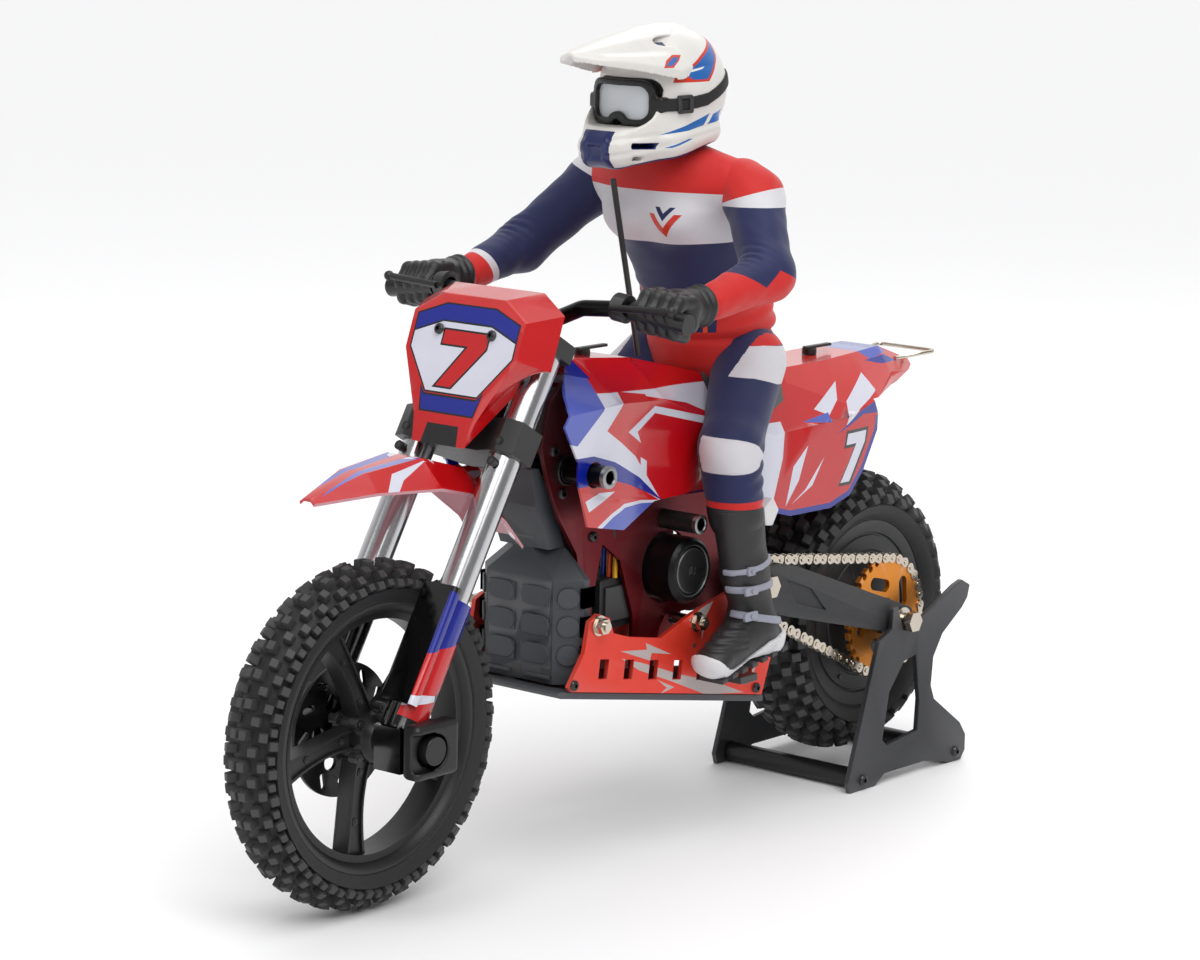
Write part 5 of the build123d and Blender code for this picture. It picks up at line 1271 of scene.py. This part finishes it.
def arm_mesh():
    """Both parts of the left sleeve as one surface."""
    field = Field((-66, 28, 268), (42, 98, 352), 0.95)
    upper, fore = (ELBOW - SHOULDER).normalized(), (WRIST - ELBOW).normalized()
    field.join(field.capsule(SHOULDER + Vector((-1, -8, 5)), SHOULDER, 14.5, 15.2))
    field.join(field.capsule(SHOULDER, ELBOW, 14.9, 12.6), 4)
    field.join(field.capsule(ELBOW, WRIST + fore * 3, 12.6, 8.6), 7)
    field.join(field.ellipsoid(ELBOW + Vector((-2, 0, 0)), (10, 9, 10.5)), 4)
    bend = ELBOW + Vector((9, -3, 8))
    near = np.sqrt((field.x - bend.x) ** 2 + (field.y - bend.y) ** 2 + (field.z - bend.z) ** 2)
    along = (field.x - ELBOW.x) * (upper + fore).x + (field.z - ELBOW.z) * (upper + fore).z
    field.value += 0.7 * np.exp(-((near / 9) ** 2)) * np.sin(along * 2 * math.pi / 7.5)
    field.value += 0.5 * grid_noise(field, 20, 11) + 0.4 * grid_noise(field, 10, 12)
    field.value += 0.8 * np.exp(-(((field.x - 31) / 1.1) ** 2))
    return relaxed(field.bmesh(), 2)


def arms():
    for side, name in ((1, "left"), (-1, "right")):
        seam = SHOULDER.lerp(ELBOW, 0.55)
        upper, fore = (ELBOW - SHOULDER).normalized(), (WRIST - ELBOW).normalized()
        bm = arm_mesh()
        if side > 0:
            sliced(bm, [(Vector((-26, 62, 335)), (0.05, -0.32, 1)),
                        (Vector((-20, 62, 328.5)), (-0.05, -0.05, 1))])
            coloured(bm, lambda s: 0 if (s.z - 335) - 0.32 * (s.y - 62) + 0.05 * (s.x + 26) > 0
                     else 1 if (s.z - 328.5) - 0.05 * (s.x + 20) - 0.05 * (s.y - 62) > 0 else 2)
            fore_red = [(60, 303.8), (37.9, 303.8), (21.4, 304.6), (12, 300), (-0.4, 292.9), (-9, 301),
                        (-22.9, 294.8),
                        (-40, 290), (-40, 260), (60, 260)]
            wedge = [(19.5, 305), (11, 314.3), (4.4, 317.6), (3.2, 310.4), (4.6, 304)]
            inner = [(13, 308), (9, 312.3), (5.9, 314), (5.2, 310), (6.2, 307)]
            painted(bm, ACROSS_X, UP, [(wedge, 3), (inner, 2), (fore_red, 0)],
                    lambda face: face.calc_center_median().y > 52 or face.calc_center_median().x > 0)
        else:
            streak = (SHOULDER + Vector((0, 0, 3)), Vector((-0.32, -0.35, 0.88)))
            ring = WRIST - fore * 7 + Vector((-3, 0, 0))
            slant = Vector((1, 0, -0.55)).normalized()
            sliced(bm, [streak, (SHOULDER + Vector((0, 0, 9.5)), streak[1]), (ring, slant),
                        (ring - slant * 4.5, slant),
                        (SHOULDER + upper * 26, upper + Vector((0.6, 0, 0)))])

            def arm_colour(spot):
                past = (spot - ring).dot(slant)
                if past > 0:
                    return 0
                if past > -4.5:
                    return 1
                height = (spot - SHOULDER).dot(streak[1].normalized())
                edge = Vector((0, 0, 3)).dot(streak[1].normalized())
                top = Vector((0, 0, 9.5)).dot(streak[1].normalized())
                run = (spot - SHOULDER).dot(upper)
                if run > 34 or height < edge:
                    return 2
                return 0 if height > top + max(0, run - 8) * 0.16 else 1

            coloured(bm, arm_colour)
        lower = bm.copy()
        for part, keep_far, label, bodies in (
            (bm, False, "upper", ("frame", f"{name}_upper_arm")),
            (lower, True, "lower", (f"{name}_upper_arm", f"{name}_forearm")),
        ):
            bmesh.ops.bisect_plane(part, geom=part.verts[:] + part.edges[:] + part.faces[:], dist=1e-4,
                                   plane_co=seam,
                                   plane_no=upper, clear_outer=not keep_far, clear_inner=keep_far)
            if side < 0:
                bmesh.ops.scale(part, vec=(1, -1, 1), verts=part.verts)
                bmesh.ops.reverse_faces(part, faces=part.faces[:])
            mesh = bpy.data.meshes.new(f"{name}_sleeve_{label}")
            part.to_mesh(mesh)
            part.free()
            piece = made_object(f"{name}_sleeve_{label}", mesh,
                                ["cloth_red", "cloth_white", "cloth_navy", "cloth_orange"])
            mesh.shade_smooth()
            if label == "upper":
                node = f"{name}_upper_arm"
            else:
                node = f"{name}_forearm"
            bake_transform(piece)
            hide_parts(node)


def leg_field():
    field = Field((-100, 8, 160), (2, 74, 262), 1.05)
    field.join(field.capsule(HIP, KNEE + Vector((-6, -2, 5)), 19.5, 15.5))
    field.join(field.capsule(KNEE + Vector((-2, 0, 2)), BOOT_TOP, 16, 14.2), 5)
    field.join(field.ellipsoid(KNEE + Vector((2, 3, 2)), (14.5, 13, 13)), 4)
    bend = np.sqrt((field.x + 42) ** 2 + (field.z - 196) ** 2)
    field.value += 0.9 * np.exp(-((bend / 15) ** 2)) * np.sin((field.z * 0.9 + field.x * 0.35) * 2
                                                              * math.pi / 7.5)
    field.value += 0.55 * grid_noise(field, 24, 5, (1.3, 1, 0.5))
    cuff = field.z - 177 - 0.08 * (field.x + 25)
    field.value += 0.9 * np.exp(-((cuff / 1.4) ** 2))
    return field


def legs():
    field = leg_field()
    pad = ((field.x + 10) / 25.5) ** 2 + ((field.z - 203.3 - 0.1 * (field.x + 10)) / 9.6) ** 2
    raise_by = 0.9 * np.clip((1 - pad) * 6, 0, 1) * (field.y > 40)
    field.value -= raise_by
    bm = relaxed(field.bmesh(), 2)
    outer = lambda face: face.calc_center_median().y > 38 or face.calc_center_median().x > -30
    hips = [(-110, 268), (-110, 250), (-64, 252.5), (-36, 252), (-24, 248), (-13, 238), (8, 232), (8, 268)]
    patch = [(-5, 226), (-13, 238.4), (-24.4, 248.3), (-36.2, 252.1), (-64.4, 252.6), (-102, 249),
             (-102, 229),
             (-65.3, 233.4), (-48, 238), (-32.7, 239.4), (-17.1, 234.2)]
    wedge = [(-13, 238.5), (-24, 248.5), (-33, 252.5), (-38, 256), (-29, 254), (-17, 246), (-6, 234)]
    oval = [(-10 + 25.2 * math.cos(t * math.pi / 14), 203.3 + 2.5 * math.cos(t * math.pi / 14)
             + 9.4 * math.sin(t * math.pi / 14)) for t in range(28)]
    cuff = [(-60, 180), (-60, 174), (0, 175.5), (0, 178)]
    below = [(-60, 174.5), (-60, 150), (0, 150), (0, 175.5)]
    painted(bm, ACROSS_X, UP, [(hips, 1), (patch, 2), (wedge, 0), (cuff, 1), (below, 3)], outer)
    painted(bm, ACROSS_X, UP, [(oval, 2)], lambda face: face.calc_center_median().y > 44)
    piece = from_bmesh("left_trouser_leg", bm, ["cloth_navy", "cloth_red", "cloth_white", "boot_black"], 60)
    placed(piece, "rider_legs")
    placed(mirrored_copy(piece, "right_trouser_leg"), "rider_legs")
    bm = bmesh.new()
    add_prism(bm, [(-41, 172), (-50, 178), (-55, 171), (-50, 163), (-44, 164)], Vector((0, 62.5, 0)),
              ACROSS_X, UP, 10)
    tab = bevelled(from_bmesh("left_boot_tab", bm, ["boot_white"]), 1.2, 3)
    placed(tab, "boots", replaces=False)
    placed(mirrored_copy(tab, "right_boot_tab"), "boots", replaces=False)


def boot_field():
    field = Field((-74, 39, 84), (2, 70, 184), 0.85)
    flat = (1, 0.8, 1)
    field.join(field.capsule((-31, 54, 172), (-38, 54, 140), 15.3, 13.2, flat))
    field.join(field.capsule((-38, 54, 140), (-47, 54, 112), 13.2, 12.4, flat), 5)
    field.join(field.capsule((-52, 54, 106), (-58, 54, 102), 11.5, 9.5, flat), 5)
    field.join(field.capsule((-44, 54, 111), (-19, 54, 98.5), 12.4, 9.6, (1, 0.95, 1)), 6)
    field.join(field.ellipsoid((-13, 54, 96.5), (8.6, 9.8, 6.6)), 4)
    field.cut(field.block((-31, 54, 178), (30, 30, 4.6), 0.5))
    field.value += 0.5 * np.sin(field.z * 2 * math.pi
                                / 3.4) * (field.x > -30) * (field.z > 101) * (field.z < 118)
    field.value += 0.3 * grid_noise(field, 13, 8)
    return field


def band_of(field, grow, line, half, keep):
    """A strap: the part of a field's surface, grown a little, along a straight line seen from the side."""
    (x1, z1), (x2, z2) = line
    length = math.hypot(x2 - x1, z2 - z1)
    across = ((field.x - x1) * (z2 - z1) - (field.z - z1) * (x2 - x1)) / length
    part = Field((0, 0, 0), (1, 1, 1), 1)
    part.low, part.step = field.low, field.step
    part.x, part.y, part.z = field.x, field.y, field.z
    part.value = np.maximum(np.maximum(field.value - grow, np.abs(across) - half), keep)
    return part


def boots():
    field = boot_field()
    skin = from_bmesh("left_boot", relaxed(field.bmesh(), 1), ["boot_black"], 50)
    placed(skin, "boots")
    placed(mirrored_copy(skin, "right_boot"), "boots")
    edge = np.interp(field.x, [-72, -62, -47, -33, -23, -14, -9, -3],
                     [107, 105, 103.8, 95, 92, 94, 98.5, 103])
    sole = Field((0, 0, 0), (1, 1, 1), 1)
    sole.low, sole.step = field.low, field.step
    flat = np.interp(field.x, [-72, -50, -16, -3], [97.2, 94.4, 86.6, 90.5])
    sole.value = np.maximum(np.maximum(field.value - 1.5, (field.z - edge) * 0.8), (flat - field.z) * 0.9)
    piece = from_bmesh("left_boot_sole", relaxed(sole.bmesh(), 1), ["boot_white"], 50)
    placed(piece, "boots", replaces=False)
    placed(mirrored_copy(piece, "right_boot_sole"), "boots", replaces=False)
    for side, name in ((1, "left"), (-1, "right")):
        bm = bmesh.new()
        for at in range(7):
            left = -66 + at * 8.2
            low = 96.2 - at * 1.5
            add_prism(bm,
                      [(left, low + 1.6), (left, low - 0.6), (left + 4.5, low - 1.5),
                       (left + 4.5, low + 0.8)],
                      Vector((0, 62.0 if side > 0 else -46.0, 0)), ACROSS_X, UP, 16)
        placed(bevelled(from_bmesh(f"{name}_boot_tread", bm, ["boot_black"]), 0.35, 2), "boots",
               replaces=False)
    outer = 52.0 - field.y
    straps = [((-22.6, 141.4), (-46, 146)), ((-12, 131.5), (-47.5, 133.5)), ((-14, 122.5), (-54, 113.5))]
    for at, line in enumerate(straps):
        band = band_of(field, 1.2, line, 2.0 if at else 1.5, outer)
        strap = from_bmesh(f"left_boot_strap_{at}", relaxed(band.bmesh(), 2), ["boot_grey"], 60)
        placed(strap, "boots", replaces=False)
        placed(mirrored_copy(strap, f"right_boot_strap_{at}"), "boots", replaces=False)
    for side, name in ((1, "left"), (-1, "right")):
        bm = bmesh.new()
        for x, z, half in ((-30, 142.6, 2.6), (-30, 132.4, 4.8), (-30, 119.2, 4.8)):
            plane = Vector((0, (65.4 + (0.4 if half > 3 else 0)) * side, 0))
            outline = [(x - half, z - 2.3), (x + half, z - 2.3), (x + half + 0.7, z), (x + half, z + 2.3),
                       (x - half, z + 2.3), (x - half - 0.7, z)]
            add_prism(bm, outline, plane - Vector((0, 1.6 * side, 0)) if side < 0 else plane, ACROSS_X, UP,
                      1.8)
            add_disc(bm, plane + Vector((x, 0, z)), Vector((0, side, 0)), 1.1, 0.9, 16)
        placed(bevelled(from_bmesh(f"{name}_boot_buckles", bm, ["boot_grey"]), 0.4, 2), "boots",
               replaces=False)


def gloves():
    field = Field((30, 58, 262), (80, 98, 304), 0.75)
    bar = Vector((-2, 37, -4.5)).normalized()
    field.join(field.capsule(HAND + Vector((-5, -7.5, 4.5)), HAND + Vector((-5, 7.5, 3.5)), 5.9, 5.7))
    field.join(field.capsule(HAND + Vector((-5, 0, 2.5)), (43, 79, 286), 8.6, 7.8), 5)
    field.join(field.capsule(HAND + Vector((-5, -6, -4)), HAND + Vector((-5, 6, -5)), 5.2, 5.2), 4)
    for at in range(4):
        root = HAND + bar * (-9.4 + 6.2 * at)
        path = [root + Vector((-3, 0, 7.2)), root + Vector((7, 0, 7.4)), root + Vector((12.4, 0, 1.2)),
                root + Vector((10.2, 0, -6.4)), root + Vector((2.5, 0, -9.0))]
        finger = None
        for (a, b), (thick, thin) in zip(zip(path, path[1:]),
                                         ((3.8, 3.8), (3.8, 3.6), (3.6, 3.6), (3.6, 3.2))):
            part = field.capsule(a, b, thick, thin)
            finger = part if finger is None else union(finger, part, 1.0)
        for joint in (path[1], path[2]):
            finger = union(finger, field.ellipsoid(joint, (4.1, 3.5, 4.0)), 0.8)
        field.join(finger, 0.7)
    field.join(field.capsule(HAND + Vector((-8, -11, -3)), HAND + Vector((4, -11, -7)), 3.8, 3.3), 2)
    cuff = Vector((36.5, 79, 286))
    field.join(field.capsule(Vector((44, 79, 286)), cuff, 8.4, 10.4), 3)
    ribs = np.clip(1 - np.abs(field.x - 38) / 6, 0, 1)
    field.value += 0.9 * ribs * np.cos((field.x - 33) * 2 * math.pi / 4.6)
    field.value += 0.28 * grid_noise(field, 9, 21)
    field.cut(field.block((26, 79, 286), (7, 30, 30), 0.5), 1)
    glove = from_bmesh("left_glove", relaxed(field.bmesh(), 1), ["glove"], 50)
    placed(glove, "gloves")
    placed(mirrored_copy(glove, "right_glove"), "gloves")
    bm = bmesh.new()
    for at in range(4):
        root = HAND + bar * (-9.4 + 6.2 * at)
        add_disc(bm, root + Vector((2, 0, 9.9)), Vector((0.25, 0, 1)).normalized(), 2.2, 1.2, 18)
        add_disc(bm, root + Vector((10.6, 0, 6.6)), Vector((0.8, 0, 0.6)).normalized(), 1.9, 1.1, 18)
    armour = bevelled(from_bmesh("left_knuckle_armour", bm, ["black_plastic"]), 0.6, 3)
    placed(armour, "gloves", replaces=False)
    placed(mirrored_copy(armour, "right_knuckle_armour"), "gloves", replaces=False)


HEAD = Vector((-29.5, 0, 384))


def shell_field():
    """The helmet's outside as one closed form."""
    step = 0.75
    field = Field((-66, -36, 344), (48, 36, 420), step)
    field.join(field.ellipsoid(HEAD, (33.8, 31.5, 32.8)))
    field.join(field.capsule((-20, 0, 369), (-8, 0, 368), 27, 25.5, (1, 0.96, 0.75)), 8)
    for side in (1, -1):
        field.join(field.capsule((-14, 19 * side, 358.5), (13, 9.0 * side, 355.5), 9.0, 7.8, (1, 1, 1.2)), 7)
        field.join(field.capsule((-34, 25 * side, 364), (-10, 21.5 * side, 357), 7.4, 7.4), 6)
    field.join(field.capsule((16.5, -5, 355), (16.5, 5, 355), 8.2, 8.2, (1, 1, 1.1)), 5)
    field.cut(field.half_space((0, 0, 348.8), (0.23, 0, 1)), 1.5)
    return field


def helmet():
    field = shell_field()
    plain = field.value.copy()
    field.cut(field.ellipsoid((-28, 0, 346), (25, 20, 16)), 2)
    port = Field((0, 0, 0), (1, 1, 1), 1)
    port.x, port.y, port.z = field.x, field.y, field.z
    opening = port.block((16, 0, 378.3), (32, 20.5, 11.8), 7)
    field.cut(opening, 1.4)
    for height, slope in ((364.5, -0.12), (359.5, -0.2)):
        ridge = field.z - (height + slope * (field.x + 10))
        field.value += 0.55 * np.exp(-((ridge / 1.1) ** 2)) * np.clip((field.x + 46) / 12, 0,
                                                                      1) * (np.abs(field.y) > 7)
    brow = field.z - (394.5 - 0.1 * (field.x + 10))
    field.value += 0.5 * np.exp(-((brow / 1.2) ** 2)) * np.clip((field.x + 40) / 12, 0, 1)
    crown = np.abs(np.abs(field.y) - 11 - 0.12 * (field.x + 30))
    field.value += 0.6 * np.exp(-((crown / 1.4) ** 2)) * (field.z > 396)
    for side in (1, -1):
        field.cut(field.block((8.5, 17.5 * side, 357.6), (6.2, 5.5, 1.1), 0.9), 0.6)
        field.cut(field.block((10, 16 * side, 351.2), (3, 4.5, 1.0), 0.8), 0.6)
    field.cut(field.block((26, 0, 354), (3.4, 4.6, 3.6), 1.5), 1.0)
    bm = relaxed(field.bmesh(), 1)
    on_side = lambda face: abs(face.calc_center_median().y) > 8
    nose = [(12, 364), (16, 356.5), (14, 352), (13, 342), (32, 342), (32, 366)]
    trim = [(-66, 367), (-66, 358), (24, 340), (24, 345.4), (-4, 351.5), (-44, 361)]
    vent_red = [(-9, 391.2), (-26, 401.6), (-47, 412), (-41, 401.4), (-28, 389), (-8, 388.6)]
    vent_blue = [(-14, 392.8), (-27, 400.6), (-43, 408.4), (-38.6, 400.6), (-27.2, 390.2), (-18, 390)]
    slash = [(-7, 393), (-27, 396.4), (-25, 395.2), (-7, 391.8)]
    stripe = [(1, 363), (-15, 367.8), (-30, 373), (-25, 367), (-15, 364.8)]
    stripe_2 = [(-27.5, 367.4), (-32.5, 372.4), (-43, 374.4), (-39, 369.4)]
    bar = [(-1, 356.6), (-14, 360.8), (-17, 360.8), (-4, 356.6)]
    slots = [(14.5, 359.2), (1.5, 359.2), (2.5, 355.8), (14.5, 356)]
    painted(bm, ACROSS_X, UP,
            [(vent_red, 3), (vent_blue, 1), (slash, 0), (stripe, 1), (stripe_2, 1), (bar, 1),
                               (slots, 2)], on_side)
    painted(bm, ACROSS_X, UP, [(trim, 2)])
    painted(bm, ACROSS_X, UP, [(nose, 2)], lambda face: abs(face.calc_center_median().y) < 9.5)
    placed(from_bmesh("helmet_shell", bm, ["helmet_white", "helmet_blue", "helmet_navy", "helmet_red"], 50),
           "helmet")

    strap = Field((0, 0, 0), (1, 1, 1), 1)
    strap.low, strap.step = field.low, field.step
    rise = np.interp(field.x, [-64, -47, -27, -12, 6], [393, 388.2, 380.2, 377.8, 377.4])
    slab = (np.abs(field.z - rise) - 3.2) * 0.93
    strap.value = np.maximum(np.maximum(plain - 1.0, slab), field.x + 1.0)
    strap.value = np.maximum(strap.value, -(plain + 1.6))
    piece = from_bmesh("goggle_strap", relaxed(strap.bmesh(), 1), ["strap"], 50)
    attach(piece, "frame")
    bm = bmesh.new()
    for side in (1, -1):
        out = Vector((0.42, 0.9 * side, 0)).normalized()
        across = Vector((0.9, -0.42 * side, -0.06)).normalized()
        over = out.cross(across).normalized()
        for slide in (-3.2, 3.2):
            centre = Vector((-13, 27.6 * side, 378.0)) + across * slide
            add_prism(bm, [(-1.1, -4.1), (1.1, -4.1), (1.1, 4.1), (-1.1, 4.1)], centre, across, over, 1.9)
        for rise in (-3.7, 3.7):
            centre = Vector((-13, 27.6 * side, 378.0)) + over * rise
            add_prism(bm, [(-4, -0.9), (4, -0.9), (4, 0.9), (-4, 0.9)], centre, across, over, 1.9)
    buckle = bevelled(from_bmesh("strap_buckles", bm, ["black_plastic"]), 0.45, 2)
    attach(buckle, "frame")


def peak():
    field = Field((-50, -33, 380), (48, 33, 421), 0.55)
    x, y = field.x, field.y
    run = [-46, -36, -24, -10, 5, 20, 34, 44.5]
    crest = np.interp(x, run, [415.6, 417.0, 417.0, 415.4, 412.6, 409.6, 406.8, 404.6])
    wide = np.interp(x, [-46, -34, -22, -10, 4, 18, 32, 40, 44.6],
                     [9, 20, 27, 28.6, 26.5, 22.5, 16, 9.5, 2.5])
    droop = np.interp(x, run, [16, 18, 20, 21.5, 16, 10.5, 6, 2])
    share = np.abs(y) / np.maximum(wide, 1)
    sheet = crest - 1.6 - droop * share ** 1.8
    sheet += 0.9 * np.exp(-((share - 0.42) / 0.1) ** 2) * np.clip((x + 30) / 20, 0,
                                                                  1) * np.clip((40 - x) / 20, 0, 1)
    sheet -= 0.8 * np.exp(-((share - 0.68) / 0.09) ** 2) * np.clip((x + 22) / 14, 0,
                                                                   1) * np.clip((36 - x) / 16, 0, 1)
    thick = np.interp(x, run, [1.0, 1.3, 1.5, 1.6, 1.6, 1.5, 1.4, 1.1])
    steep = np.sqrt(1 + (1.8 * droop * share ** 0.8 / np.maximum(wide, 1)) ** 2)
    field.value = np.maximum(np.abs(field.z - sheet) / steep - thick, (np.abs(y) - wide) * 0.7)
    field.value = np.maximum(field.value, np.maximum(x - 44.2, -45.5 - x))
    for side in (1, -1):
        scoop = field.ellipsoid((-13, 14.5 * side, 408.6), (9.5, 5, 2.6))
        field.cut(scoop, 0.8)
    bm = relaxed(field.bmesh(), 4)
    leaf = [(3, 396.6), (-2, 400.0), (-9, 402.4), (-15, 402.2), (-11, 399.6), (-4, 396.4)]
    leaf_in = [(0.5, 397.4), (-3, 399.2), (-9, 401.4), (-12, 401.1), (-9, 399.3), (-4, 397.4)]
    painted(bm, ACROSS_X, UP, [(leaf, 3), (leaf_in, 1)], lambda face: abs(face.calc_center_median().y) > 12)
    piece = from_bmesh("helmet_peak", bm, ["helmet_white", "helmet_blue", "helmet_navy", "helmet_red"], 50)
    placed(piece, "helmet", replaces=False)
    bm = bmesh.new()
    for side in (1, -1):
        outline = [(-9.5, -2.2), (9.5, -2.2), (8, 2.2), (-8, 2.2)]
        add_prism(bm, outline, Vector((-13, 14.2 * side, 406.6)), ACROSS_X,
                  Vector((0, side, -0.55)).normalized(), 0.6)
    placed(bevelled(from_bmesh("peak_vents", bm, ["helmet_navy"]), 0.3, 2), "helmet", replaces=False)


def goggles():
    field = Field((-12, -27, 360), (14, 27, 396), 0.55)
    centre = (-27.0, 0.0)
    reach = np.sqrt((field.x - centre[0]) ** 2 + field.y**2)
    around = 31.0 * np.arctan2(field.y, field.x - centre[0])

    def plate(half_wide, half_tall, rounding):
        q = [np.abs(around) - (half_wide - rounding), np.abs(field.z - 378.3) - (half_tall - rounding)]
        outside = np.sqrt(np.maximum(q[0], 0) ** 2 + np.maximum(q[1], 0) ** 2)
        return outside + np.minimum(np.maximum(q[0], q[1]), 0) - rounding

    notch = np.sqrt((around / 6.4) ** 2 + ((field.z - 365.2) / 8.4) ** 2) * 6.8 - 6.8
    outer = plate(19.6, 11.4, 7.5)
    inner = -union(-plate(16.2, 8.4, 5.5), notch, 2)
    outer = -union(-outer, notch + 3.2, 2)
    ring = np.maximum(np.maximum(outer, -inner), np.abs(reach - 31.0) - 3.6)
    lip = np.maximum(np.maximum(outer - 0.9, -(outer + 1.4)), np.abs(reach - 29.4) - 1.3)
    field.value = union(ring, lip, 1.2)
    for side in (1, -1):
        field.join(field.block((-3.4, 20.6 * side, 377.6), (4.0, 3.2, 4.0), 1.6), 2.5)
    piece = from_bmesh("goggle_frame", relaxed(field.bmesh(), 1), ["goggle"], 50)
    placed(piece, "goggles")
    field.value = np.maximum(inner - 0.5, np.abs(reach - 32.0) - 0.55)
    # The pane's near-white lens material is a painted reflection.
    placed(from_bmesh("goggle_pane", relaxed(field.bmesh(), 1), ["lens"], 50), "goggle_lens")
    field.value = np.maximum(np.maximum(outer + 1.2, reach - 28.2), 24.0 - reach)
    lining = from_bmesh("goggle_foam", relaxed(field.bmesh(), 1), ["foam"], 50)
    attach(lining, "frame")


def rider():
    torso()
    arms()
    legs()
    boots()
    gloves()
    helmet()
    peak()
    goggles()


stage()
camera()
structure()
front_wheel()
rear_wheel()
chain_links()
tank()
tail()
number_board()
fender()
guards()
battery_box()
fork()
axle_cups()
handlebar()
small_parts()
rider()
